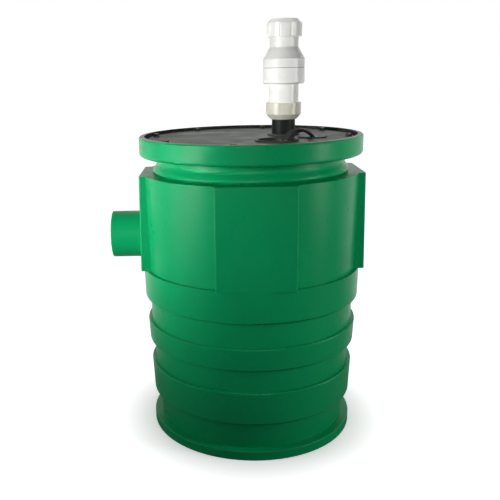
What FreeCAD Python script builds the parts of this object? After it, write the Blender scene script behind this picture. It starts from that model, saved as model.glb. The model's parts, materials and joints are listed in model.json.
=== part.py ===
# Sewage ejector pump: a buried plastic basin with a bolted cover, a submersible pump, a float switch,
# a discharge pipe and a compression check valve.
# Millimetres, +Z up, origin on the floor at the middle of the basin. The inlet stub points along -X.

import FreeCAD, Part
import math
import os
import Sketcher
from FreeCAD import Placement, Rotation, Vector

os.makedirs("parts", exist_ok=True)
doc = FreeCAD.newDocument("sewage_ejector_pump")
sheet = doc.addObject("Spreadsheet::Sheet", "sizes")

# Driving dimensions: lengths in millimetres, angles in degrees seen from above.
DIMENSIONS = {
    # how far a cutting tool stands clear of what it cuts
    "cut_margin": 1,
    # basin rim, neck and shoulder
    "basin_height": 781,
    "rim_radius": 286,
    "rim_depth": 49,
    "rim_top_round": 5,
    "rim_foot_round": 8,
    "lip_width": 14,
    "neck_inset": 45,
    "neck_length": 20,
    "bead_rise": 11,
    "bead_height": 9,
    "bead_round": 12,
    "bead_tuck": 4,
    "bead_tuck_height": 5,
    "bead_wall_drop": 2.6,
    "shoulder_height": 688,
    # upper body: curved panels between four flat bosses
    "panel_step": 29.5,
    "panel_foot_radius": 276,
    "boss_top_rise": 0.5,
    "boss_foot_rise": 9.5,
    "boss_half_width": 95,
    "boss_foot": 443,
    "boss_edge_round": 4,
    # lower body: three tapering hoops with grooves under them, and a base flange
    "hoop_a_top_rise": 9.5,
    "hoop_a_foot_rise": 14,
    "hoop_a_foot": 362,
    "groove_a_radius": 269.5,
    "hoop_b_top": 298,
    "hoop_b_top_rise": 9.1,
    "hoop_b_foot_rise": 13.5,
    "hoop_b_foot": 240,
    "groove_b_radius": 262,
    "hoop_c_top": 181,
    "hoop_c_top_rise": 10.4,
    "hoop_c_foot_rise": 13,
    "hoop_c_foot": 95,
    "groove_c_radius": 255,
    "wall_foot_radius": 248,
    "flange_radius": 270,
    "flange_height": 24,
    "hoop_edge_round": 3,
    "hoop_foot_round": 5,
    "basin_wall": 8,
    "floor_thickness": 10,
    # inlet stub, a socket for a 4-inch pipe
    "inlet_pipe_radius": 57.15,
    "inlet_clearance": 0.45,
    "inlet_wall": 3.7,
    "inlet_stop": 6,
    "inlet_socket_depth": 74,
    "inlet_length": 81.6,
    "inlet_edge_round": 2,
    "inlet_height": 522,
    "inlet_seat_depth": 0.9714,
    "inlet_spigot_wall": 3,
    "inlet_spigot_length": 9.4,
    # cover and its fastenings
    "cover_gap": 10,
    "cover_thickness": 7,
    "cover_recess": 7,
    "cover_edge_round": 1.5,
    "gasket_thickness": 3,
    "gasket_clearance": 0.3,
    "gasket_inset": 1,
    "bolt_inset": 22,
    "bolt_count": 8,
    "first_bolt_angle": -101.25,
    "bolt_radius": 4,
    "bolt_clearance": 0.5,
    "bolt_head_radius": 7.5,
    "bolt_head_height": 5.3,
    "bolt_head_turn": 17,
    "bolt_length": 26,
    "washer_radius": 8.5,
    "washer_thickness": 1.6,
    "insert_radius": 6.5,
    "insert_length": 20,
    "insert_end": 2,
    "thread_clearance": 0.15,
    # rubber seals in the cover
    "discharge_x": 88.7,
    "discharge_y": 25,
    "discharge_seal_flange": 42,
    "discharge_seal_neck": 36,
    "vent_x": 58.5,
    "vent_y": -124,
    "vent_seal_flange": 53,
    "vent_seal_neck": 49,
    "vent_bore": 44.6,
    "cord_seal_x": 153,
    "cord_seal_y": -56,
    "cord_seal_flange": 36.5,
    "cord_seal_neck": 31,
    "seal_lip": 3,
    "seal_foot_inset": 1,
    "rubber_clearance": 0.1,
    # discharge pipe, 2-inch
    "pipe_radius": 30.15,
    "pipe_wall": 3.9,
    "pipe_clearance": 0.2,
    "pipe_top": 845,
    "weep_hole_radius": 2.4,
    "weep_hole_height": 215,
    # check valve on the pipe
    "valve_nut_radius": 45,
    "valve_nut_chamfer": 13,
    "valve_nut_mouth": 11,
    "upper_nut_chamfer": 10.5,
    "nut_flute_radius": 5,
    "nut_flute_depth": 1.1,
    "nut_flute_count": 10,
    "nut_flute_stop": 3,
    "lower_nut_foot": 815,
    "lower_nut_top": 856.5,
    "lower_neck_radius": 37.8,
    "valve_body_foot": 903.5,
    "valve_body_radius": 52.8,
    "valve_body_round": 6,
    "valve_seam": 942.5,
    "valve_cone_foot": 964.5,
    "valve_cone_top": 993.5,
    "upper_neck_radius": 36.5,
    "upper_nut_foot": 1018.5,
    "upper_nut_top": 1061.5,
    "valve_wall": 6,
    "waterway_radius": 26,
    "socket_depth": 24,
    "outlet_clearance": 0.6,
    "outlet_lip_clearance": 1.4,
    "nut_lip": 7,
    "pack_ring_height": 8,
    "pack_ring_clearance": 0.3,
    "body_seal_thickness": 1,
    "body_seal_inset": 1,
    "seat_radius": 33,
    "seat_height": 4,
    "flapper_radius": 32,
    "flapper_thickness": 4,
    "flapper_clearance": 0.3,
    "flapper_arm_rise": 1,
    "flapper_eye_wall": 2,
    "hinge_offset": 38,
    "hinge_rise": 5,
    "hinge_pin_radius": 2,
    "hinge_lug_width": 6,
    "hinge_lug_outer_wall": 1,
    "hinge_lug_inner_wall": 2,
    "hinge_lug_top_wall": 3,
    "hinge_half_span": 12,
    # submersible pump
    "pump_reach": 128,
    "pump_turn": 12,
    "leg_height": 45,
    "leg_radius": 9,
    "leg_circle": 74,
    "leg_count": 3,
    "first_leg_angle": 60,
    "base_plate_thickness": 8,
    "suction_radius": 30,
    "volute_radius": 92,
    "volute_height": 78,
    "volute_wall": 10,
    "port_radius": 34,
    "port_bore": 27,
    "port_rise": 21,
    "port_floor": 12,
    "port_window_foot": 17,
    "port_window_height": 44,
    "port_window_inset": 4,
    "impeller_radius": 66,
    "impeller_plate": 6,
    "impeller_hub_radius": 14,
    "impeller_nut_radius": 11,
    "impeller_nut_height": 10,
    "impeller_height": 28,
    "impeller_headroom": 17,
    "vane_count": 4,
    "vane_thickness": 5,
    "vane_root": 1,
    "vane_tip_inset": 2,
    "vane_sweep": 25,
    "seal_plate_thickness": 12,
    "seal_plate_register": 6,
    "bearing_hub_radius": 34,
    "bearing_hub_height": 25,
    "shaft_radius": 8.5,
    "shaft_clearance": 0.5,
    "shaft_thread_radius": 6,
    "shaft_thread_length": 14,
    "shaft_step_drop": 3,
    "shaft_end_rise": 2,
    "bearing_clearance": 0.03,
    "shaft_seal_radius": 16,
    "shaft_seal_height": 13,
    "shaft_seal_rise": 1,
    "bearing_radius": 20,
    "bearing_width": 12,
    "motor_radius": 74,
    "motor_wall": 5,
    "motor_height": 177,
    "motor_flange_thickness": 8,
    "cap_flange_radius": 84,
    "rib_count": 12,
    "rib_height": 4,
    "rib_thickness": 4,
    "rib_root": 1,
    "stator_foot": 47,
    "stator_height": 90,
    "stator_bore": 41,
    "air_gap": 0.7,
    "rotor_core_inset": 1,
    "winding_height": 15,
    "winding_inner": 46,
    "winding_outer": 64,
    "winding_round": 4,
    "cap_thickness": 10,
    "cap_dome_radius": 60,
    "cap_dome_height": 16,
    "cap_hub_radius": 24,
    "cap_hub_depth": 27,
    "cap_hub_headroom": 4,
    "cap_cord_hole_depth": 6,
    "upper_bearing_radius": 17.5,
    "upper_bearing_width": 11,
    "upper_bearing_rise": 2,
    "upper_shaft_radius": 7.5,
    "pump_screw_count": 4,
    "pump_screw_turn": 45,
    "pump_screw_circle": 87,
    "pump_screw_radius": 3,
    "pump_screw_head": 5.5,
    "pump_screw_head_height": 4,
    "pump_screw_hole_depth": 26,
    "pump_screw_reach": 23,
    "cap_screw_circle": 79,
    "cap_screw_radius": 2.2,
    "cap_screw_head": 4,
    "gland_offset": 38,
    "gland_radius": 12,
    "gland_sleeve_radius": 9,
    "gland_height": 22,
    "handle_half_span": 66,
    "handle_height": 74,
    "handle_radius": 5,
    "handle_bend": 26,
    "adapter_radius": 38,
    "adapter_collar_step": 3,
    "adapter_bore_step": 4,
    "adapter_shoulder": 14,
    "adapter_seat": 12,
    "adapter_height": 36,
    "adapter_thread_depth": 18,
    # float switch on the pipe
    "float_height": 400,
    "float_turn": -60,
    "float_hang": 77,
    "clamp_wall": 2.5,
    "clamp_width": 14,
    "clamp_overlap": 1,
    "clamp_ear_reach": 10,
    "clamp_ear_half_width": 5,
    "clamp_gap_half_width": 1,
    "pivot_reach": 46,
    "fork_half_width": 9,
    "fork_gap": 4.4,
    "fork_half_height": 9,
    "fork_slot_clearance": 1,
    "pivot_pin_radius": 2,
    "eye_radius": 6,
    "eye_half_width": 4,
    "tether_length": 54,
    "tether_radius": 3.9,
    "float_radius": 31,
    "float_length": 90,
    "float_nose": 14,
    "clamp_screw_offset": 5,
    "clamp_screw_radius": 2.5,
    "clamp_screw_foot": 7,
    "clamp_screw_head_rise": 2,
    "clamp_screw_head_height": 3,
    # cords
    "power_cord_radius": 4.25,
    "float_cord_radius": 4,
    "cord_clearance": 0.3,
    "cord_hole_length": 60,
    "coil_radius": 47,
    "coil_turns_wide": 3,
    "coil_turns_high": 2,
    "coil_round_share": 0.9,
    "plug_length": 42,
    "plug_radius": 14,
    "plug_relief_length": 24,
    "plug_relief_radius": 6.5,
    "plug_mouth_wall": 1,
    "plug_shoulder": 6,
    "plug_bevel": 2,
    "blade_length": 16,
    "blade_width": 6.3,
    "blade_thickness": 1.5,
    "blade_spacing": 12.7,
    "blade_rise": 2,
    "ground_pin_drop": 7,
    "ground_pin_radius": 2.4,
    "tie_width": 5,
    "tie_thickness": 1.4,
    "tie_cord_gap": 0.5,
    "power_tie_height": 563,
    "power_tie_turn": 231.1,
    "float_tie_height": 450,
}


class Size:
    """A length or angle known both as a number and as an expression of the sheet."""

    def __init__(self, value, text):
        self.value = float(value)
        self.text = text

    def combined(self, other, sign, value):
        return Size(value, f"({self.text} {sign} {as_size(other).text})")

    def __add__(self, other):
        return self.combined(other, "+", self.value + as_size(other).value)

    def __radd__(self, other):
        return as_size(other) + self

    def __sub__(self, other):
        return self.combined(other, "-", self.value - as_size(other).value)

    def __rsub__(self, other):
        return as_size(other) - self

    def __mul__(self, other):
        return self.combined(other, "*", self.value * as_size(other).value)

    def __rmul__(self, other):
        return as_size(other) * self

    def __truediv__(self, other):
        return self.combined(other, "/", self.value / as_size(other).value)

    def __rtruediv__(self, other):
        return as_size(other) / self

    def __neg__(self):
        return Size(-self.value, f"(-{self.text})")

    def __float__(self):
        return self.value

    def __int__(self):
        return round(self.value)


def as_size(number):
    """Returns the number itself if it is a Size, and a Size without a cell otherwise."""
    if isinstance(number, Size):
        return number
    return Size(number, f"{number:.6f}")


def cosine(angle):
    """Cosine of an angle in degrees."""
    angle = as_size(angle)
    return Size(math.cos(math.radians(angle.value)), f"cos({angle.text})")


def sine(angle):
    """Sine of an angle in degrees."""
    angle = as_size(angle)
    return Size(math.sin(math.radians(angle.value)), f"sin({angle.text})")


class Dimensions:
    """The cells of the sheet, read by name as sizes."""

    def __getattr__(self, name):
        return Size(DIMENSIONS[name], f"sizes.{name}")


for row, (name, value) in enumerate(DIMENSIONS.items(), start=1):
    sheet.set(f"A{row}", name)
    sheet.set(f"B{row}", str(value))
    sheet.setAlias(f"B{row}", name)
doc.recompute()
d = Dimensions()

SUBPARTS = []


# Helpers for bodies, sketches and features

def new_body(label):
    """A body that becomes one sub-part."""
    body = doc.addObject("PartDesign::Body", label)
    body.AllowCompound = True
    SUBPARTS.append(body)
    return body


def place(thing, x=0, y=0, z=0, turn=0):
    """Puts a sub-part at a place and turns it about the vertical."""
    x, y, z, turn = as_size(x), as_size(y), as_size(z), as_size(turn)
    thing.Placement = Placement(Vector(x.value, y.value, z.value), Rotation(Vector(0, 0, 1), turn.value or 1))
    thing.setExpression("Placement.Base.x", x.text)
    thing.setExpression("Placement.Base.y", y.text)
    thing.setExpression("Placement.Base.z", z.text)
    thing.setExpression("Placement.Rotation.Angle", turn.text)
    return thing


def new_sketch(body, name, plane, level=0):
    """A sketch on one of the body's own planes, moved along the plane's normal by level."""
    sketch = body.newObject("Sketcher::SketchObject", name)
    origin_plane = [feature for feature in body.Origin.OriginFeatures if feature.Role == plane][0]
    sketch.AttachmentSupport = [(origin_plane, "")]
    sketch.MapMode = "FlatFace"
    sketch.setExpression("AttachmentOffset.Base.z", as_size(level).text)
    return sketch


def bind(sketch, kind, size, *geometry):
    """Adds a dimension to a sketch and ties it to the sheet."""
    size = as_size(size)
    index = sketch.addConstraint(Sketcher.Constraint(kind, *geometry, size.value))
    sketch.setExpression(f"Constraints[{index}]", size.text)


def add_polygon(sketch, corners):
    """A closed outline of straight lines with every corner at a bound place."""
    first = sketch.GeometryCount
    count = len(corners)
    spots = [Vector(float(across), float(up), 0) for across, up in corners]
    for index in range(count):
        sketch.addGeometry(Part.LineSegment(spots[index], spots[(index + 1) % count]))
    for index in range(count):
        following = first + (index + 1) % count
        sketch.addConstraint(Sketcher.Constraint("Coincident", first + index, 2, following, 1))
    for index, (across, up) in enumerate(corners):
        bind(sketch, "DistanceX", across, -1, 1, first + index, 1)
        bind(sketch, "DistanceY", up, -1, 1, first + index, 1)


def add_circle(sketch, across, up, radius):
    """A circle with its centre and radius bound."""
    across, up, radius = as_size(across), as_size(up), as_size(radius)
    index = sketch.addGeometry(Part.Circle(Vector(across.value, up.value, 0), Vector(0, 0, 1), radius.value))
    bind(sketch, "Radius", radius, index)
    bind(sketch, "DistanceX", across, -1, 1, index, 3)
    bind(sketch, "DistanceY", up, -1, 1, index, 3)


def box_corners(low_x, high_x, low_y, high_y):
    """The corners of a rectangle."""
    return [(low_x, low_y), (high_x, low_y), (high_x, high_y), (low_x, high_y)]


def ring_corners(inner, outer, foot, top):
    """The section of a plain ring."""
    return box_corners(inner, outer, foot, top)


def revolve(body, name, corners):
    """Turns a section, given as radius and height, about the body's vertical axis."""
    sketch = new_sketch(body, name + "_section", "XZ_Plane")
    add_polygon(sketch, corners)
    turn = body.newObject("PartDesign::Revolution", name)
    turn.Profile = sketch
    turn.ReferenceAxis = (sketch, ["V_Axis"])
    turn.Angle = 360
    doc.recompute()
    return turn


def groove(body, name, corners):
    """Cuts a turned hollow, given as radius and height."""
    before = body.Shape.Volume
    sketch = new_sketch(body, name + "_section", "XZ_Plane")
    add_polygon(sketch, corners)
    cut = body.newObject("PartDesign::Groove", name)
    cut.Profile = sketch
    cut.ReferenceAxis = (sketch, ["V_Axis"])
    cut.Angle = 360
    doc.recompute()
    check_cut(body, name, before)
    return cut


def check_cut(body, name, before):
    """Stops where a cut removed nothing."""
    if body.Shape.Volume > before - 1e-3:
        raise RuntimeError(f"{name} cut nothing")


def pad(body, name, sketch, length, reverse=False):
    """Raises a sketch by a length."""
    raised = body.newObject("PartDesign::Pad", name)
    raised.Profile = sketch
    raised.Reversed = reverse
    raised.setExpression("Length", as_size(length).text)
    doc.recompute()
    return raised


def pocket(body, name, sketch, length, reverse=False):
    """Cuts a sketch into the body by a length, against the sketch's normal unless reversed."""
    before = body.Shape.Volume
    cut = body.newObject("PartDesign::Pocket", name)
    cut.Profile = sketch
    cut.Reversed = reverse
    cut.setExpression("Length", as_size(length).text)
    doc.recompute()
    check_cut(body, name, before)
    return cut


def drill(body, name, circles, top, depth):
    """Drills round holes, given as x, y and radius, from a level downwards."""
    sketch = new_sketch(body, name + "_circles", "XY_Plane", top)
    for across, up, radius in circles:
        add_circle(sketch, across, up, radius)
    return pocket(body, name, sketch, depth)


def raise_rods(body, name, circles, foot, height):
    """Raises round rods, given as x, y and radius, from a level upwards."""
    sketch = new_sketch(body, name + "_circles", "XY_Plane", foot)
    for across, up, radius in circles:
        add_circle(sketch, across, up, radius)
    return pad(body, name, sketch, height)


def raise_block(body, name, corners, foot, height):
    """Raises a straight-sided block from a level upwards."""
    sketch = new_sketch(body, name + "_outline", "XY_Plane", foot)
    add_polygon(sketch, corners)
    return pad(body, name, sketch, height)


def cut_block(body, name, corners, top, depth):
    """Cuts a straight-sided hollow from a level downwards."""
    sketch = new_sketch(body, name + "_outline", "XY_Plane", top)
    add_polygon(sketch, corners)
    return pocket(body, name, sketch, depth)


def hexagon(x, y, radius, turn=0):
    """The corners of a hexagon about a point."""
    return [(x + radius * cosine(turn + 60.0 * k), y + radius * sine(turn + 60.0 * k)) for k in range(6)]


def around(count, radius, start=0):
    """Places evenly spaced on a circle about the axis."""
    step = 360 / int(count)
    return [(radius * cosine(start + step * k), radius * sine(start + step * k)) for k in range(int(count))]


def round_edges(body, name, edges, radius):
    """Rounds the named edges of the body's last feature."""
    base = body.Tip
    fillet = body.newObject("PartDesign::Fillet", name)
    fillet.Base = (base, edges)
    fillet.setExpression("Radius", as_size(radius).text)
    doc.recompute()


def round_circles(body, name, circles, radius):
    """Rounds the full circular edges at the given radii and heights."""
    edges = []
    for ring_radius, height in circles:
        edges += circular_edges(body.Shape, float(ring_radius), float(height))
    round_edges(body, name, edges, radius)


def circular_edges(shape, radius, height):
    """Names of the edges that circle the axis at a radius and height."""
    names = []
    for index, edge in enumerate(shape.Edges, start=1):
        curve = edge.Curve
        if not isinstance(curve, Part.Circle):
            continue
        on_axis = math.hypot(curve.Center.x, curve.Center.y) < 1e-3
        if on_axis and abs(curve.Radius - radius) < 1e-3 and abs(curve.Center.z - height) < 1e-3:
            names.append(f"Edge{index}")
    if not names:
        raise RuntimeError(f"no edge at radius {radius} and height {height}")
    return names


# Shared levels and places

rim_foot = d.basin_height - d.rim_depth
lip_radius = d.rim_radius - d.lip_width
neck_radius = d.rim_radius - d.neck_inset
bead_radius = neck_radius + d.bead_rise
panel_top_radius = bead_radius + d.panel_step
boss_top_face = panel_top_radius + d.boss_top_rise
boss_foot_face = d.panel_foot_radius + d.boss_foot_rise
boss_lean = (boss_top_face - boss_foot_face) / (d.shoulder_height - d.boss_foot)
inlet_seat = boss_foot_face + boss_lean * (d.inlet_height - d.boss_foot) - d.inlet_seat_depth
inlet_reach = inlet_seat + d.inlet_length
inlet_socket_radius = d.inlet_pipe_radius + d.inlet_clearance
inlet_radius = inlet_socket_radius + d.inlet_wall
inlet_bore_radius = d.inlet_pipe_radius - d.inlet_stop
inlet_spigot_radius = inlet_bore_radius + d.inlet_spigot_wall
hoop_a_top_radius = d.panel_foot_radius + d.hoop_a_top_rise
hoop_a_foot_radius = d.groove_a_radius + d.hoop_a_foot_rise
hoop_b_top_radius = d.groove_a_radius + d.hoop_b_top_rise
hoop_b_foot_radius = d.groove_b_radius + d.hoop_b_foot_rise
hoop_c_top_radius = d.groove_b_radius + d.hoop_c_top_rise
hoop_c_foot_radius = d.groove_c_radius + d.hoop_c_foot_rise
cover_radius = lip_radius - d.cover_gap
bolt_circle = lip_radius - d.bolt_inset
cover_top = d.basin_height - d.cover_recess
cover_foot = cover_top - d.cover_thickness
ledge_level = cover_foot - d.gasket_thickness
neck_bore = neck_radius - d.basin_wall
bead_top = rim_foot - d.neck_length
bead_side = d.shoulder_height + d.bead_height
bolt_places = around(d.bolt_count, bolt_circle, d.first_bolt_angle)
pump_x = d.discharge_x - d.pump_reach * cosine(d.pump_turn)
pump_y = d.discharge_y - d.pump_reach * sine(d.pump_turn)
leg_foot = d.floor_thickness
base_plate_foot = leg_foot + d.leg_height
volute_foot = base_plate_foot + d.base_plate_thickness
volute_top = volute_foot + d.volute_height
chamber_radius = d.volute_radius - d.volute_wall
motor_foot = volute_top + d.seal_plate_thickness
motor_top = motor_foot + d.motor_height
cap_top = motor_top + d.cap_thickness
dome_top = cap_top + d.cap_dome_height
port_top = volute_top + d.port_rise
pipe_foot = port_top + d.adapter_seat
motor_bore = d.motor_radius - d.motor_wall


# Basin: a moulded shell whose inside follows its outside at one wall thickness

def basin_wall_line(inset):
    """Corners of the lower wall from the shoulder down to the base, moved inwards by the wall."""
    return [
        (d.panel_foot_radius - inset, d.boss_foot - inset),
        (hoop_a_top_radius - inset, d.boss_foot - inset),
        (hoop_a_foot_radius - inset, d.hoop_a_foot + inset),
        (d.groove_a_radius - inset, d.hoop_a_foot + inset),
        (d.groove_a_radius - inset, d.hoop_b_top - inset),
        (hoop_b_top_radius - inset, d.hoop_b_top - inset),
        (hoop_b_foot_radius - inset, d.hoop_b_foot + inset),
        (d.groove_b_radius - inset, d.hoop_b_foot + inset),
        (d.groove_b_radius - inset, d.hoop_c_top - inset),
        (hoop_c_top_radius - inset, d.hoop_c_top - inset),
        (hoop_c_foot_radius - inset, d.hoop_c_foot + inset),
        (d.groove_c_radius - inset, d.hoop_c_foot + inset),
    ]


def boss_section(inset):
    """Both faces of a pair of opposite bosses, leaning out a little towards the foot."""
    foot, top = as_size(d.boss_foot), d.shoulder_height - inset
    foot_face, top_face = boss_foot_face - inset, boss_top_face - inset
    return [(-foot_face, foot), (foot_face, foot), (top_face, top), (-top_face, top)]


def boss_edges(shape):
    """Names of the leaning edges at the corners of the four bosses."""
    levels = ((d.boss_foot.value, boss_foot_face.value), (d.shoulder_height.value, boss_top_face.value))
    half = d.boss_half_width.value
    names = []
    for index, edge in enumerate(shape.Edges, start=1):
        ends = sorted((vertex.Point for vertex in edge.Vertexes), key=lambda point: point.z)
        if len(ends) != 2:
            continue
        at_corner = True
        for point, (level, face) in zip(ends, levels):
            across = sorted((abs(point.x), abs(point.y)))
            at_corner = at_corner and abs(point.z - level) < 0.01
            at_corner = at_corner and abs(across[0] - half) < 0.01 and abs(across[1] - face) < 0.01
        if at_corner:
            names.append(f"Edge{index}")
    if len(names) != 8:
        raise RuntimeError(f"found {len(names)} boss edges, not 8")
    return names


def mouth_edges(shape, x, radius):
    """Name of the outer edge at the open end of the inlet stub."""
    for index, edge in enumerate(shape.Edges, start=1):
        curve = edge.Curve
        if not isinstance(curve, Part.Circle):
            continue
        if abs(curve.Radius - radius) < 0.01 and abs(curve.Center.x - x) < 0.01:
            return [f"Edge{index}"]
    raise RuntimeError("the inlet stub has no open end")


def make_basin():
    body = new_body("basin")
    outer = [(0, 0), (0, d.basin_height), (d.rim_radius, d.basin_height), (d.rim_radius, rim_foot)]
    outer += [(neck_radius, rim_foot), (neck_radius, bead_top), (bead_radius, bead_side)]
    outer += [(bead_radius, d.shoulder_height + d.bead_tuck_height)]
    outer += [(bead_radius - d.bead_tuck, d.shoulder_height), (panel_top_radius, d.shoulder_height)]
    outer += basin_wall_line(as_size(0))
    outer += [(d.wall_foot_radius, d.flange_height), (d.flange_radius, d.flange_height), (d.flange_radius, 0)]
    revolve(body, "basin_outside", outer)
    bends = [(neck_radius, bead_top), (bead_radius, bead_side)]
    round_circles(body, "bead_rounding", bends, d.bead_round)
    round_circles(body, "rim_top_rounding", [(d.rim_radius, d.basin_height)], d.rim_top_round)
    round_circles(body, "rim_foot_rounding", [(d.rim_radius, rim_foot)], d.rim_foot_round)
    edges = [(hoop_b_top_radius, d.hoop_b_top), (hoop_c_top_radius, d.hoop_c_top)]
    edges += [(d.flange_radius, d.flange_height)]
    round_circles(body, "hoop_edge_rounding", edges, d.hoop_edge_round)
    feet = [(hoop_a_foot_radius, d.hoop_a_foot), (hoop_b_foot_radius, d.hoop_b_foot)]
    feet += [(hoop_c_foot_radius, d.hoop_c_foot)]
    round_circles(body, "hoop_foot_rounding", feet, d.hoop_foot_round)
    for name, plane in (("side_bosses", "XZ_Plane"), ("front_bosses", "YZ_Plane")):
        section = new_sketch(body, name + "_section", plane, -d.boss_half_width)
        add_polygon(section, boss_section(as_size(0)))
        pad(body, name, section, 2 * d.boss_half_width)
    round_edges(body, "boss_edge_rounding", boss_edges(body.Shape), d.boss_edge_round)

    wall = d.basin_wall
    open_top = d.basin_height + d.cut_margin
    inside = [(0, d.floor_thickness), (0, open_top), (lip_radius, open_top)]
    inside += [(lip_radius, ledge_level), (neck_bore, ledge_level)]
    inside += [(neck_bore, bead_top - d.bead_wall_drop)]
    inside += [(bead_radius - wall, bead_side - d.bead_wall_drop)]
    inside += [(bead_radius - wall, d.shoulder_height - wall)]
    inside += [(panel_top_radius - wall, d.shoulder_height - wall)]
    inside += basin_wall_line(wall)
    inside += [(d.wall_foot_radius - wall, d.floor_thickness)]
    groove(body, "basin_inside", inside)
    inner_half = d.boss_half_width - wall
    for name, plane in (("side_boss_hollows", "XZ_Plane"), ("front_boss_hollows", "YZ_Plane")):
        section = new_sketch(body, name + "_section", plane, -inner_half)
        add_polygon(section, boss_section(wall))
        pocket(body, name, section, 2 * inner_half, reverse=True)

    outermost = inlet_seat + 2 * wall
    spot = new_sketch(body, "inlet_seat_circle", "YZ_Plane", -outermost)
    add_circle(spot, 0, d.inlet_height, inlet_radius)
    pocket(body, "inlet_seat", spot, outermost - inlet_seat, reverse=True)
    hole = new_sketch(body, "inlet_hole_circle", "YZ_Plane", -outermost)
    add_circle(hole, 0, d.inlet_height, inlet_spigot_radius)
    pocket(body, "inlet_hole", hole, 5 * wall, reverse=True)
    sockets = [(x, y, d.insert_radius) for x, y in bolt_places]
    drill(body, "insert_sockets", sockets, ledge_level, d.insert_length)


def make_inlet_stub():
    """A socket for a 4-inch pipe, welded against the boss with its spigot in the wall's hole."""
    body = new_body("inlet_stub")
    root = inlet_seat - d.inlet_spigot_length
    tube = new_sketch(body, "stub_circle", "YZ_Plane", -inlet_seat)
    add_circle(tube, 0, d.inlet_height, inlet_radius)
    pad(body, "stub_tube", tube, inlet_reach - inlet_seat, reverse=True)
    spigot = new_sketch(body, "stub_spigot_circle", "YZ_Plane", -root)
    add_circle(spigot, 0, d.inlet_height, inlet_spigot_radius)
    pad(body, "stub_spigot", spigot, inlet_seat - root, reverse=True)
    bore = new_sketch(body, "stub_bore_circle", "YZ_Plane", -inlet_reach)
    add_circle(bore, 0, d.inlet_height, inlet_bore_radius)
    pocket(body, "stub_bore", bore, inlet_reach - root, reverse=True)
    socket = new_sketch(body, "stub_socket_circle", "YZ_Plane", -inlet_reach)
    add_circle(socket, 0, d.inlet_height, inlet_socket_radius)
    pocket(body, "stub_socket", socket, d.inlet_socket_depth, reverse=True)
    mouth = mouth_edges(body.Shape, -inlet_reach.value, inlet_radius.value)
    round_edges(body, "stub_edge_rounding", mouth, d.inlet_edge_round)


# Cover, gasket and fastenings

def make_cover():
    body = new_body("cover")
    revolve(body, "cover_disc", ring_corners(0, cover_radius, cover_foot, cover_top))
    round_circles(body, "cover_edge_rounding", [(cover_radius, cover_top)], d.cover_edge_round)
    hole = d.bolt_radius + d.bolt_clearance
    holes = [(x, y, hole) for x, y in bolt_places]
    holes += [(d.discharge_x, d.discharge_y, d.discharge_seal_neck + d.rubber_clearance)]
    holes += [(d.vent_x, d.vent_y, d.vent_seal_neck + d.rubber_clearance)]
    holes += [(d.cord_seal_x, d.cord_seal_y, d.cord_seal_neck + d.rubber_clearance)]
    drill(body, "cover_holes", holes, cover_top, d.cover_thickness)


def make_cover_gasket():
    body = new_body("cover_gasket")
    inner, outer = neck_bore + d.gasket_inset, lip_radius - d.gasket_clearance
    revolve(body, "gasket_ring", ring_corners(inner, outer, ledge_level, cover_foot))
    hole = d.bolt_radius + d.bolt_clearance
    drill(body, "gasket_holes", [(x, y, hole) for x, y in bolt_places], cover_foot, d.gasket_thickness)


def make_cover_fastenings():
    inserts = new_body("cover_inserts")
    outer = d.insert_radius - d.rubber_clearance
    foot = ledge_level - d.insert_length
    raise_rods(inserts, "insert_rods", [(x, y, outer) for x, y in bolt_places], foot, d.insert_length)
    bore = d.bolt_radius + d.thread_clearance
    depth = d.insert_length - d.insert_end
    drill(inserts, "insert_bores", [(x, y, bore) for x, y in bolt_places], ledge_level, depth)

    washers = new_body("cover_washers")
    rings = [(x, y, d.washer_radius) for x, y in bolt_places]
    raise_rods(washers, "washer_discs", rings, cover_top, d.washer_thickness)
    hole = d.bolt_radius + d.thread_clearance
    top = cover_top + d.washer_thickness
    drill(washers, "washer_holes", [(x, y, hole) for x, y in bolt_places], top, d.washer_thickness)

    bolts = new_body("cover_bolts")
    rods = [(x, y, d.bolt_radius) for x, y in bolt_places]
    raise_rods(bolts, "bolt_shanks", rods, top - d.bolt_length, d.bolt_length)
    heads = new_sketch(bolts, "bolt_head_outlines", "XY_Plane", top)
    for index, (x, y) in enumerate(bolt_places):
        add_polygon(heads, hexagon(x, y, d.bolt_head_radius, d.bolt_head_turn * index))
    pad(bolts, "bolt_heads", heads, d.bolt_head_height)


def make_seal(label, x, y, flange, neck, bore):
    """A rubber grommet that grips the edge of a hole in the cover."""
    body = new_body(label)
    foot_flange, lip_foot = flange - d.seal_foot_inset, cover_foot - d.seal_lip
    corners = [(bore, lip_foot), (foot_flange, lip_foot), (foot_flange, cover_foot)]
    corners += [(neck, cover_foot), (neck, cover_top), (flange, cover_top), (flange, cover_top + d.seal_lip)]
    corners += [(bore, cover_top + d.seal_lip)]
    revolve(body, label + "_turned", corners)
    place(body, x, y)
    return body


# Discharge pipe and check valve, both on one vertical axis

def make_discharge_pipe():
    body = new_body("discharge_pipe")
    inner = d.pipe_radius - d.pipe_wall
    revolve(body, "pipe_tube", ring_corners(inner, d.pipe_radius, pipe_foot, d.pipe_top))
    hole = new_sketch(body, "weep_hole_circle", "YZ_Plane", d.pipe_radius + d.cut_margin)
    add_circle(hole, 0, d.weep_hole_height, d.weep_hole_radius)
    pocket(body, "weep_hole", hole, d.pipe_wall + 2 * d.cut_margin)
    place(body, d.discharge_x, d.discharge_y)


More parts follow.
